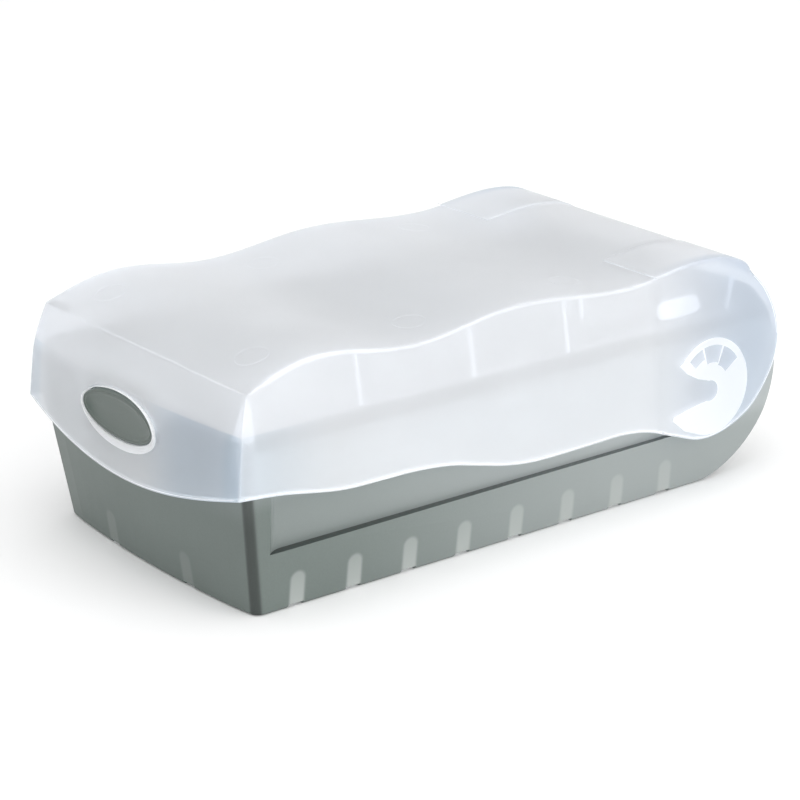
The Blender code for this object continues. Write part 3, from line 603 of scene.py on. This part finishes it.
def make_rib_feet(material):
    """The thicker foot at the lower end of each long stand-off rib and of each corner gusset."""
    bm = bmesh.new()
    for y, drop in RIBS[:3]:
        bar(bm, RIM_Z + RIM_GAP + drop, RIM_Z + RIB_FOOT_TOP + drop, RIB_FOOT_DEPTH,
            RIB_FOOT_THICK, y)
    x, y = half_width(0, GUSSET_FOOT) - LID_WALL, corner_y(GUSSET_FOOT) + LID_WALL
    capped(bm, [[(x, y, z), (x, y + GUSSET_FOOT_LEG, z), (x - GUSSET_FOOT_LEG, y, z)]
                for z in (GUSSET_FOOT, GUSSET_FOOT + GUSSET_FOOT_HEIGHT)], turned=True)
    bmesh.ops.recalc_face_normals(bm, faces=bm.faces)
    return add_piece("rib_feet", mirrored(bm), "lid", material, bevel=0.25)


def make_stops(material):
    """A rib inside each rear cheek, pointing away from the pivot."""
    sections = []
    for reach in STOP_REACH:
        y, z = PIVOT_Y + reach * math.sin(STOP_TURN), PIVOT_Z + reach * math.cos(STOP_TURN)
        wall = half_width(LID_REAR_Y, z) - LID_WALL
        side = Vector((0, math.cos(STOP_TURN), -math.sin(STOP_TURN))) * STOP_HALF_THICK
        inner, outer = Vector((wall - STOP_DEPTH, y, z)), Vector((wall + STOP_SUNK, y, z))
        sections.append([inner - side, outer - side, outer + side, inner + side])
    bm = bmesh.new()
    capped(bm, sections)
    return add_piece("stop_ribs", mirrored(bm), "lid", material, bevel=0.2)


def gusset_leg(z):
    """How far a corner gusset reaches along the walls at height z."""
    return GUSSET_LEG * (GUSSET_TIP_Z - z) / (GUSSET_TIP_Z - GUSSET_FOOT) + GUSSET_TIP


def make_gussets(material):
    """Wedges inside the front corners, whose feet stand outside the corners of the rim."""
    sections = []
    for z in steps_between(GUSSET_FOOT + GUSSET_FOOT_HEIGHT, GUSSET_TOP, 6):
        leg = gusset_leg(z) + SUNK
        x, y = half_width(0, z) - LID_WALL + SUNK, corner_y(z) + LID_WALL - SUNK
        sections.append([(x, y, z), (x, y + leg, z), (x - leg, y, z)])
    bm = bmesh.new()
    capped(bm, sections, turned=True)
    bmesh.ops.recalc_face_normals(bm, faces=bm.faces)
    return add_piece("corner_gussets", mirrored(bm), "lid", material, bevel=0.25)


def make_gusset_edges(material):
    """The rounded edges of the corner gussets: two legs against the walls, joined at the foot."""
    on_front, on_side = [], []
    for z in steps_between(EDGE_START, EDGE_STOP, 8):
        reach = gusset_leg(z) + LID_WALL
        x, y = half_width(0, z) - reach, corner_y(z) + reach
        on_front.append((x, front_y(x, z) + LID_WALL + EDGE_RADIUS / 2, z))
        on_side.append((half_width(y, z) - LID_WALL - EDGE_RADIUS / 2, y, z))
    corner = (half_width(0, GUSSET_FOOT) - LID_WALL - EDGE_RADIUS,
              corner_y(GUSSET_FOOT) + LID_WALL + EDGE_RADIUS, EDGE_START)
    lines = [(points, [radius] * len(points)) for points, radius in
             ((on_front, EDGE_RADIUS), (on_side, EDGE_RADIUS),
              ([on_front[0], corner, on_side[0]], EDGE_FOOT_RADIUS))]
    return bead_piece("corner_gusset_edges", lines + other_side(lines), material)


def sweep_ring(bm, sections):
    """A closed tube: at each place round the ring, a closed section of points."""
    rings = [[bm.verts.new(point) for point in section] for section in sections]
    join_rings(bm, rings + rings[:1])
    bmesh.ops.recalc_face_normals(bm, faces=bm.faces)


def make_window_lip(material):
    """The lip round the oval window: narrow above, a broad rounded band below, its face flat
    and a little proud of the front."""
    behind = front_y(0, OVAL_Z) + LIP_DEPTH
    sections = []
    for a in turns(96):
        inner = Vector((LIP_INNER[0] * math.cos(a), 0, LIP_INNER[1] * math.sin(a)))
        outer = Vector((LIP_OUTER[0] * math.cos(a), 0, LIP_OUTER[1] * math.sin(a) - LIP_DROP))
        section = []
        for share, out in LIP_FACE:
            point = inner + (outer - inner) * share
            point.z += OVAL_Z
            point.y = front_y(0, point.z) * (1 - share) + front_y(point.x, point.z) * share - out
            section.append(point)
        back = inner + Vector((LIP_SPREAD * math.cos(a), behind,
                               OVAL_Z + LIP_SPREAD * math.sin(a)))
        edge = inner + Vector((0, behind, OVAL_Z))
        sections.append(section + [back, edge])
    bm = bmesh.new()
    sweep_ring(bm, sections)
    return add_piece("window_lip", bm, "lid", material)


def make_button(material):
    """The oval button's cap: a double bead round a shallow dish, lying in the window."""
    bm = bmesh.new()
    rings = []
    for inset, depth in BUTTON_FACE:
        ring = []
        for a in turns(72):
            x = (BUTTON_HALF[0] - inset) * math.cos(a)
            z = (BUTTON_HALF[1] - inset * BUTTON_SQUASH) * math.sin(a) - BUTTON_DROP
            ring.append(bm.verts.new((x, front_y(0, OVAL_Z + z) + depth, OVAL_Z + z)))
        rings.append(ring)
    bm.faces.new(rings[0])
    bm.faces.new(rings[-1])
    join_rings(bm, rings)
    bmesh.ops.recalc_face_normals(bm, faces=bm.faces)
    smooth_faces(bm)
    return add_piece("button_cap", bm, "latch", material)


def tube(points, radii):
    """A round bead along a line, with a radius at each point."""
    curve = bpy.data.curves.new("bead", "CURVE")
    curve.dimensions = "3D"
    curve.bevel_depth = 1.0
    curve.bevel_resolution = 2
    curve.use_fill_caps = True
    spline = curve.splines.new("POLY")
    spline.points.add(len(points) - 1)
    for point, place, radius in zip(spline.points, points, radii):
        point.co = (*place, 1)
        point.radius = radius
    bead = bpy.data.objects.new("bead", curve)
    bpy.context.scene.collection.objects.link(bead)
    bpy.context.view_layer.update()
    mesh = bpy.data.meshes.new_from_object(
        bead.evaluated_get(bpy.context.evaluated_depsgraph_get()))
    bpy.data.objects.remove(bead)
    return mesh


def bead_piece(name, lines, material):
    """A piece of the lid made of beads, each a line of points and a radius at each of them."""
    bm = bmesh.new()
    for points, radii in lines:
        mesh = tube(points, radii)
        bm.from_mesh(mesh)
        bpy.data.meshes.remove(mesh)
    smooth_faces(bm)
    return add_piece(name, bm, "lid", material)


def other_side(lines):
    """The same beads, mirrored in the plane X = 0."""
    return [([(-x, y, z) for x, y, z in points], radii) for points, radii in lines]


def make_rim_bead(material):
    """The lid's lower edge, thickened all the way round the open underside."""
    side = [(half_width(y, z) - RIM_BEAD_IN, y, z + RIM_BEAD_LIFT) for y, z in LOW_EDGE[8:]]
    lobe = [(half_width(y, z) - RIM_BEAD_IN, y - RIM_BEAD_LIFT, z) for y, z in LOBE_EDGE[::-1]]
    side = side + lobe[1:-3]
    end = SKIRT_HALF - RIM_BEAD_CORNER
    front = [(x, front_y(x, smile_z(x)) + RIM_BEAD_IN, smile_z(x) + RIM_BEAD_LIFT)
             for x in steps_between(-end, end, 40)]
    points = [(-x, y, z) for x, y, z in side[::-1]] + front + side
    return bead_piece("lid_rim_bead", [(points, [RIM_BEAD_RADIUS] * len(points))], material)


def make_fold_beads(material):
    """Fillets inside the lid's folds: along both sides of its top, down the front corners and
    across the front fold."""
    ys = [y for y in TOP_YS if 1.0 < y < LID_REAR_Y - 2.5]
    side = [(half_width(y, edge_z(y)) - SIDE_FILLET_IN, y, edge_z(y) - SIDE_FILLET_IN)
            for y in ys]
    wide = [SIDE_FILLET - SIDE_FILLET_LOSS * min(1.0, y / SIDE_FILLET_LENGTH) for y in ys]
    corner = [(half_width(0, z) - CORNER_FILLET_IN, corner_y(z) + CORNER_FILLET_IN, z)
              for z in steps_between(GUSSET_FOOT + 1.0, GUSSET_TOP, 8)]
    fold = [(x, FOLD_Y + CORNER_FILLET_IN, FOLD_Z - FRONT_FILLET_DOWN)
            for x in steps_between(-FRONT_FILLET_HALF, FRONT_FILLET_HALF, 8)]
    lines = [(side, wide), (corner, [CORNER_FILLET] * len(corner))]
    across_front = [(fold, [FRONT_FILLET] * len(fold))]
    return bead_piece("lid_fold_fillets", lines + across_front + other_side(lines), material)


def make_panel_edges(material):
    """The fine raised edge round the inner corner of each rear panel."""
    start = PANEL_HALF_X + PANEL_EDGE_OUT
    panel = [(start, y, wave_z(y) + PANEL_EDGE_RISE) for y in REAR_YS[1:]]
    seam = [(x, SEAM_Y + PANEL_EDGE_OUT, wave_z(SEAM_Y) + PANEL_EDGE_RISE)
            for x in steps_between(start, PANEL_EDGE_END, 4)]
    lines = [(points, [PANEL_EDGE_RADIUS] * len(points)) for points in (panel, seam)]
    return bead_piece("panel_edges", lines + other_side(lines), material)


def make_painted_light_pads(material):
    """A thick pad with rounded corners inside each rear shoulder, a bright patch of painted light.
    """
    sections = []
    for inward, share in PAD_RINGS:
        section = []
        for a in turns(40):
            reach = 1 / (abs(math.cos(a)) ** 4 + abs(math.sin(a)) ** 4) ** 0.25
            y = PAD_Y + PAD_HALF_Y * share * reach * math.cos(a)
            z = PAD_Z + PAD_HALF_Z * share * reach * math.sin(a)
            section.append((half_width(y, z) - LID_WALL - inward, y, z))
        sections.append(section)
    bm = bmesh.new()
    capped(bm, sections, turned=True)
    bmesh.ops.recalc_face_normals(bm, faces=bm.faces)
    return add_piece("shoulder_light_pads", mirrored(bm), "lid", material)


def make_ejector_marks(material):
    """Faint round marks on the lid's top, left by the mould's ejector pins."""
    bm = bmesh.new()
    for middle_x in (MARK_X, -MARK_X):
        for middle_y in MARK_YS:
            sections = []
            for a in turns(36):
                section = []
                for b in turns(6):
                    reach = MARK_RADIUS + MARK_WIDTH * math.cos(b)
                    x, y = middle_x + reach * math.cos(a), middle_y + reach * math.sin(a)
                    section.append((x, y, wave_z(y) + MARK_RISE + MARK_HEIGHT * math.sin(b)))
                sections.append(section)
            sweep_ring(bm, sections)
    return add_piece("ejector_marks", bm, "lid", material)


# ---------------------------------------------------------------- materials


class Tree:
    """Short ways to write chains of nodes."""

    def __init__(self, tree):
        self.tree = tree

    def math(self, operation, first, second=0.0, third=0.0, clamp=False):
        node = add(self.tree, "ShaderNodeMath", operation=operation, use_clamp=clamp)
        for socket, value in zip(node.inputs, (first, second, third)):
            if isinstance(value, (int, float)):
                socket.default_value = value
            else:
                self.tree.links.new(value, socket)
        return node.outputs[0]

    def step(self, value, start, stop):
        """0 at the start value, 1 at the stop value, smooth between."""
        node = add(self.tree, "ShaderNodeMapRange", interpolation_type="SMOOTHSTEP")
        node.inputs["From Min"].default_value = start
        node.inputs["From Max"].default_value = stop
        self.tree.links.new(value, node.inputs["Value"])
        return node.outputs["Result"]

    def both(self, *masks):
        """Set where all the masks are."""
        result = masks[0]
        for mask in masks[1:]:
            result = self.math("MULTIPLY", result, mask)
        return result

    def blend(self, colour, mask, other, kind="MIX"):
        """The colour, mixed with another colour or multiplied by it where the mask is set."""
        node = add(self.tree, "ShaderNodeMix", data_type="RGBA", blend_type=kind)
        node.inputs["B"].default_value = (*other, 1)
        self.tree.links.new(mask, node.inputs["Factor"])
        self.tree.links.new(colour, node.inputs["A"])
        return node.outputs["Result"]


# Lengths in the materials are in metres. A pair gives where a mask starts and where it is full.
TRAY_SIDE, TRAY_SIDE_DRAFT = 0.0555, 0.12  # the tray's outer sides at the floor, and their lean
TRAY_FRONT_DRAFT = 0.142
# the smoke plastic's colour, and the colour of the painted light laid over the tray
SMOKE_COLOUR, PAINTED_LIGHT_COLOUR = (0.155, 0.186, 0.173), (0.40, 0.43, 0.43)

# painted light where the tray's wall is thin behind each foot slot
FOOT_PITCH, FOOT_FIRST, FOOT_COUNT = 0.0225, 0.0156 - TRAY_FRONT, 8
FOOT_FRONT_X = 0.0222  # the two feet in the tray's front are this far from the middle
FOOT_HALF, FOOT_TOP = 0.003, 0.0128
FOOT_EDGE, FOOT_ROW_FADE = (FOOT_HALF + 0.0006, FOOT_HALF - 0.001), 0.001
FOOT_SIDE_X, FOOT_FRONT_Y = (0.045, 0.046), (-0.098, -0.099)
FOOT_SIDE_SHARE, FOOT_FRONT_SHARE, FOOT_TOP_LOSS = 1.0, 0.28, 0.5
FOOT_LIGHT_COLOUR = (0.42, 0.45, 0.435)

FRONT_SKIN = (TRAY_FRONT - 0.0034, TRAY_FRONT - 0.0018)
CORNER_SKIN = (TRAY_SIDE - 0.0036, TRAY_SIDE - 0.0022)
PANEL_SKIN_OUT = (TRAY_SIDE - 0.0008, TRAY_SIDE - 0.0016)
PANEL_SKIN_IN = (TRAY_SIDE - 0.008, TRAY_SIDE - 0.007)
FACES_SIDEWAYS, FACES_UP, LEDGE_X = (0.5, 0.7), (0.35, 0.6), (0.05, 0.051)
TRAY_RIM_Z, TRAY_HIGH_Z, TRAY_REAR_Y = (0.0565, 0.0572), (0.036, 0.044), (-0.1, 0.06)
FRONT_BAND_FROM, FRONT_BAND_TO = (0.03, 0.044), (0.057, 0.046)
# strengths of the painted shade on the ledge, front corners and rim, and of the painted light on
# the panels, high wall, rear and front band
LEDGE_DARK, CORNER_DARK, RIM_DARK = 0.62, 0.65, 0.7
PANEL_PALE, HIGH_PALE, REAR_PALE, FRONT_PALE = 0.34, 0.3, 0.66, 0.2


def painted_foot_light(nodes, x, y, z):
    """Painted light where the tray's wall is thin behind each foot slot: upright strips with round
    tops.
    """
    middle = (FOOT_COUNT - 1) / 2 * FOOT_PITCH + FOOT_FIRST
    row_half = FOOT_COUNT * FOOT_PITCH / 2
    centred = nodes.math("SUBTRACT", y, FOOT_FIRST - FOOT_PITCH / 2)
    wrapped = nodes.math("WRAP", centred, FOOT_PITCH, 0.0)
    side = nodes.math("SUBTRACT", wrapped, FOOT_PITCH / 2)
    from_middle = nodes.math("ABSOLUTE", nodes.math("SUBTRACT", y, middle))
    on_side = nodes.both(nodes.step(from_middle, row_half, row_half - FOOT_ROW_FADE),
                         nodes.step(nodes.math("ABSOLUTE", x), *FOOT_SIDE_X))
    front = nodes.math("SUBTRACT", nodes.math("ABSOLUTE", x), FOOT_FRONT_X)
    on_front = nodes.step(y, *FOOT_FRONT_Y)
    above = nodes.math("MAXIMUM", nodes.math("SUBTRACT", z, FOOT_TOP - FOOT_HALF), 0.0)
    above = nodes.math("MULTIPLY", above, above)
    masks = []
    for off, place, share in ((side, on_side, FOOT_SIDE_SHARE),
                              (front, on_front, FOOT_FRONT_SHARE)):
        reach = nodes.math("SQRT", nodes.math("ADD", nodes.math("MULTIPLY", off, off), above))
        shape = nodes.both(nodes.step(reach, *FOOT_EDGE), place)
        masks.append(nodes.math("MULTIPLY", shape, share))
    low = nodes.math("SUBTRACT", 1.0, nodes.math("MULTIPLY", z, FOOT_TOP_LOSS / FOOT_TOP))
    return nodes.math("MULTIPLY", nodes.math("MAXIMUM", *masks), low)


def tray_shading(nodes, x, y, z):
    """Painted shade and painted light on the tray: the share of the smoke colour that stays under
    the painted shade, and the share of the painted light laid over it. The shade is painted
    darkest where the wall is seen edge on, at the front corners, the ledge and the rim, and the
    light is painted on the recessed panels, high up, towards the rear and in a band high on the
    front."""
    geometry = add(nodes.tree, "ShaderNodeNewGeometry")
    normal = add(nodes.tree, "ShaderNodeSeparateXYZ")
    nodes.tree.links.new(geometry.outputs["Normal"], normal.inputs[0])
    out = nodes.math("ABSOLUTE", x)
    skin = nodes.math("SUBTRACT", out, nodes.math("MULTIPLY", z, TRAY_SIDE_DRAFT))
    fore = nodes.math("SUBTRACT", nodes.math("MULTIPLY", z, -TRAY_FRONT_DRAFT), y)
    on_front = nodes.step(fore, *FRONT_SKIN)
    behind_front = nodes.math("SUBTRACT", 1.0, on_front)
    on_side = nodes.step(nodes.math("ABSOLUTE", normal.outputs[0]), *FACES_SIDEWAYS)

    ledge = nodes.both(nodes.step(normal.outputs[2], *FACES_UP), nodes.step(out, *LEDGE_X))
    corner = nodes.both(on_front, nodes.step(skin, *CORNER_SKIN))
    rim = nodes.both(nodes.step(z, *TRAY_RIM_Z), nodes.math("MAXIMUM", on_side, on_front))
    painted_shade = nodes.math("MAXIMUM", nodes.math("MULTIPLY", ledge, LEDGE_DARK),
                      nodes.math("MULTIPLY", corner, CORNER_DARK))
    painted_shade = nodes.math("MAXIMUM", painted_shade, nodes.math("MULTIPLY", rim, RIM_DARK))
    clear = nodes.math("SUBTRACT", 1.0, painted_shade)

    panel = nodes.both(nodes.step(skin, *PANEL_SKIN_OUT), nodes.step(skin, *PANEL_SKIN_IN),
                       behind_front, on_side)
    high = nodes.both(nodes.step(z, *TRAY_HIGH_Z), nodes.math("SUBTRACT", 1.0, rim),
                      behind_front, on_side)
    band = nodes.both(on_front, nodes.step(z, *FRONT_BAND_FROM), nodes.step(z, *FRONT_BAND_TO))
    pale = nodes.math("ADD", nodes.math("MULTIPLY", panel, PANEL_PALE),
                      nodes.math("MULTIPLY", high, HIGH_PALE))
    pale = nodes.math("ADD", pale,
                      nodes.math("MULTIPLY", nodes.step(y, *TRAY_REAR_Y), REAR_PALE))
    pale = nodes.math("ADD", pale, nodes.math("MULTIPLY", band, FRONT_PALE), clamp=True)
    return clear, nodes.math("MULTIPLY", pale, clear)


def smoke_material(name, colour, rough=0.42, through=0.1, tray=False):
    """Tinted plastic that lets a little light through, with a fine moulded grain."""
    material, tree = new_material(name)
    nodes = Tree(tree)
    link = tree.links.new
    place = add(tree, "ShaderNodeTexCoord")
    grain = add(tree, "ShaderNodeTexNoise", Scale=1400.0, Detail=3.0)
    cloud = add(tree, "ShaderNodeTexNoise", Scale=28.0, Detail=3.0)
    link(place.outputs["Object"], grain.inputs["Vector"])
    link(place.outputs["Object"], cloud.inputs["Vector"])
    shade = nodes.math("MULTIPLY_ADD", cloud.outputs["Fac"], 0.2, 0.9)
    fine = nodes.math("MULTIPLY_ADD", grain.outputs["Fac"], 0.14, 0.93)
    shade = nodes.math("MULTIPLY", shade, fine)
    # on the tray, painted shade darkens the colour
    if tray:
        axes = add(tree, "ShaderNodeSeparateXYZ")
        link(place.outputs["Object"], axes.inputs[0])
        clear, pale = tray_shading(nodes, *axes.outputs[:3])
        shade = nodes.math("MULTIPLY", shade, clear)
    tint = add(tree, "ShaderNodeMix", data_type="RGBA", blend_type="MULTIPLY")
    tint.inputs["Factor"].default_value = 1.0
    tint.inputs["A"].default_value = (*colour, 1)
    link(shade, tint.inputs["B"])
    shaded = tint.outputs["Result"]
    # painted light laid over the tray, and at its foot slots
    if tray:
        shaded = nodes.blend(shaded, pale, PAINTED_LIGHT_COLOUR)
        shaded = nodes.blend(shaded, painted_foot_light(nodes, *axes.outputs[:3]), FOOT_LIGHT_COLOUR)
    bump = add(tree, "ShaderNodeBump", Strength=0.08, Distance=0.0002)
    body = add(tree, "ShaderNodeBsdfPrincipled", Roughness=rough, IOR=1.45)
    glow = add(tree, "ShaderNodeBsdfTranslucent")
    mix = add(tree, "ShaderNodeMixShader")
    mix.inputs[0].default_value = through
    out = add(tree, "ShaderNodeOutputMaterial")
    link(grain.outputs["Fac"], bump.inputs["Height"])
    link(shaded, body.inputs["Base Color"])
    link(shaded, glow.inputs["Color"])
    link(bump.outputs["Normal"], body.inputs["Normal"])
    link(body.outputs[0], mix.inputs[1])
    link(glow.outputs[0], mix.inputs[2])
    link(mix.outputs[0], out.inputs["Surface"])
    return material


# masks and colours of the painted shade on the lid's walls
CHEEK_X, CHEEK_Y, CHEEK_SHADE = (0.052, 0.057), (0.05, 0.105), (0.75, 0.8, 0.86)
FACE_Y, FACE_X, FACE_SHADE = (-0.1125, -0.1135), (0.0621, 0.0611), (0.79, 0.84, 0.89)
FACE_RIGHT_X, FACE_LEAST = (0.01, 0.036), 0.1  # the painted shade on the front is full only right of the button
FORE_Y, FORE_SHADE = (-0.075, -0.11), (0.91, 0.94, 0.96)
UNDER_RIM_Z = (RIM_Z * MM + 0.0006, RIM_Z * MM - 0.0002)
MILK_SHARE = 0.5


def painted_wall_shade(nodes, place, colour):
    """Painted shade: darkens and cools the milky colour towards the rear of the lid's cheeks, and
    where the tray's rim and front wall stand close behind the lid."""
    axes = add(nodes.tree, "ShaderNodeSeparateXYZ")
    nodes.tree.links.new(place, axes.inputs[0])
    x, y, z = axes.outputs[:3]
    out = nodes.math("ABSOLUTE", x)
    side = nodes.step(out, *CHEEK_X)
    cheek = nodes.both(nodes.step(y, *CHEEK_Y), side)
    under_rim = nodes.step(z, *UNDER_RIM_Z)
    face = nodes.both(nodes.step(y, *FACE_Y), nodes.step(out, *FACE_X), under_rim,
                      nodes.math("MULTIPLY_ADD", nodes.step(x, *FACE_RIGHT_X),
                                 1 - FACE_LEAST, FACE_LEAST))
    fore = nodes.both(nodes.step(y, *FORE_Y), side, under_rim)
    for mask, tint in ((cheek, CHEEK_SHADE), (face, FACE_SHADE), (fore, FORE_SHADE)):
        colour = nodes.blend(colour, mask, tint, "MULTIPLY")
    return colour


def frosted_material(name, see_through, roughness, colour, with_painted_shade=False):
    """Milky plastic: part of the light passes and is blurred, the rest is scattered white. Its
    shadows are light, and with with_painted_shade set its walls get painted shade."""
    material, tree = new_material(name)
    place = add(tree, "ShaderNodeTexCoord")
    cloud = add(tree, "ShaderNodeTexNoise", Scale=22.0, Detail=2.0)
    shade = add(tree, "ShaderNodeMapRange")
    shade.inputs["From Min"].default_value = 0.3
    shade.inputs["From Max"].default_value = 0.7
    shade.inputs["To Min"].default_value = 0.97
    shade.inputs["To Max"].default_value = 1.02
    tint = add(tree, "ShaderNodeMix", data_type="RGBA", blend_type="MULTIPLY")
    tint.inputs["Factor"].default_value = 1.0
    tint.inputs["A"].default_value = (*colour, 1)
    grain = add(tree, "ShaderNodeTexNoise", Scale=1200.0, Detail=2.0)
    bump = add(tree, "ShaderNodeBump", Strength=0.05, Distance=0.0002)
    glass = add(tree, "ShaderNodeBsdfPrincipled", Roughness=roughness, IOR=1.2)
    glass.inputs["Base Color"].default_value = (0.965, 0.978, 1.0, 1)
    glass.inputs["Transmission Weight"].default_value = 1.0
    body = add(tree, "ShaderNodeBsdfPrincipled", Roughness=0.5, Specular_IOR_Level=0.25)
    through = add(tree, "ShaderNodeBsdfTranslucent")
    milk = add(tree, "ShaderNodeMixShader")
    milk.inputs[0].default_value = MILK_SHARE
    mix = add(tree, "ShaderNodeMixShader")
    mix.inputs[0].default_value = see_through
    path = add(tree, "ShaderNodeLightPath")
    clear = add(tree, "ShaderNodeBsdfTransparent")
    clear.inputs["Color"].default_value = (0.8, 0.82, 0.84, 1)
    lamps = add(tree, "ShaderNodeMixShader")
    out = add(tree, "ShaderNodeOutputMaterial")
    link = tree.links.new
    link(place.outputs["Object"], cloud.inputs["Vector"])
    link(place.outputs["Object"], grain.inputs["Vector"])
    link(cloud.outputs["Fac"], shade.inputs["Value"])
    link(shade.outputs["Result"], tint.inputs["B"])
    link(grain.outputs["Fac"], bump.inputs["Height"])
    milky = tint.outputs["Result"]
    # painted shade on the lid's walls
    if with_painted_shade:
        milky = painted_wall_shade(Tree(tree), place.outputs["Object"], milky)
    link(milky, body.inputs["Base Color"])
    link(milky, through.inputs["Color"])
    link(bump.outputs["Normal"], body.inputs["Normal"])
    link(body.outputs[0], milk.inputs[1])
    link(through.outputs[0], milk.inputs[2])
    link(milk.outputs[0], mix.inputs[1])
    link(glass.outputs[0], mix.inputs[2])
    link(path.outputs["Is Shadow Ray"], lamps.inputs[0])
    link(mix.outputs[0], lamps.inputs[1])
    link(clear.outputs[0], lamps.inputs[2])
    link(lamps.outputs[0], out.inputs["Surface"])
    return material


# ---------------------------------------------------------------- the box

TRAY_SMOKE = smoke_material("tray_plastic", SMOKE_COLOUR, tray=True)
SMOKE = smoke_material("smoke_plastic", SMOKE_COLOUR)
BUTTON = smoke_material("button_plastic", (0.10, 0.125, 0.113), 0.33, 0.0)
FROSTED = frosted_material("frosted_plastic", 0.4, 0.2, (0.945, 0.955, 0.975), with_painted_shade=True)
SOFT = frosted_material("ribbed_frosted_plastic", 0.5, 0.2, (0.93, 0.945, 0.965))
WHITE = frosted_material("thick_frosted_plastic", 0.12, 0.3, (0.975, 0.98, 0.985))
CLOUDY = frosted_material("cloudy_frosted_plastic", 0.35, 0.3, (0.955, 0.96, 0.97))

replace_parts(make_lid_shell(FROSTED), "lid")
for make, material in ((make_clips, WHITE), (make_ribs, FROSTED), (make_rib_feet, WHITE),
                       (make_stops, SOFT), (make_gussets, CLOUDY), (make_gusset_edges, WHITE),
                       (make_window_lip, WHITE), (make_ejector_marks, FROSTED),
                       (make_rim_bead, WHITE), (make_fold_beads, CLOUDY),
                       (make_panel_edges, SOFT), (make_painted_light_pads, CLOUDY)):
    make(material)
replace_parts(make_button(BUTTON), "latch_button")

CAD_BEVEL = 0.3  # millimetres, on the nodes that keep the CAD's own shape
for node, material in (("base_tray", TRAY_SMOKE), ("latch_tongue", SMOKE),
                       ("support_plate", SMOKE)):
    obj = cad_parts[node]
    for slot in obj.material_slots:
        slot.material = material
    round_edges(obj, CAD_BEVEL)
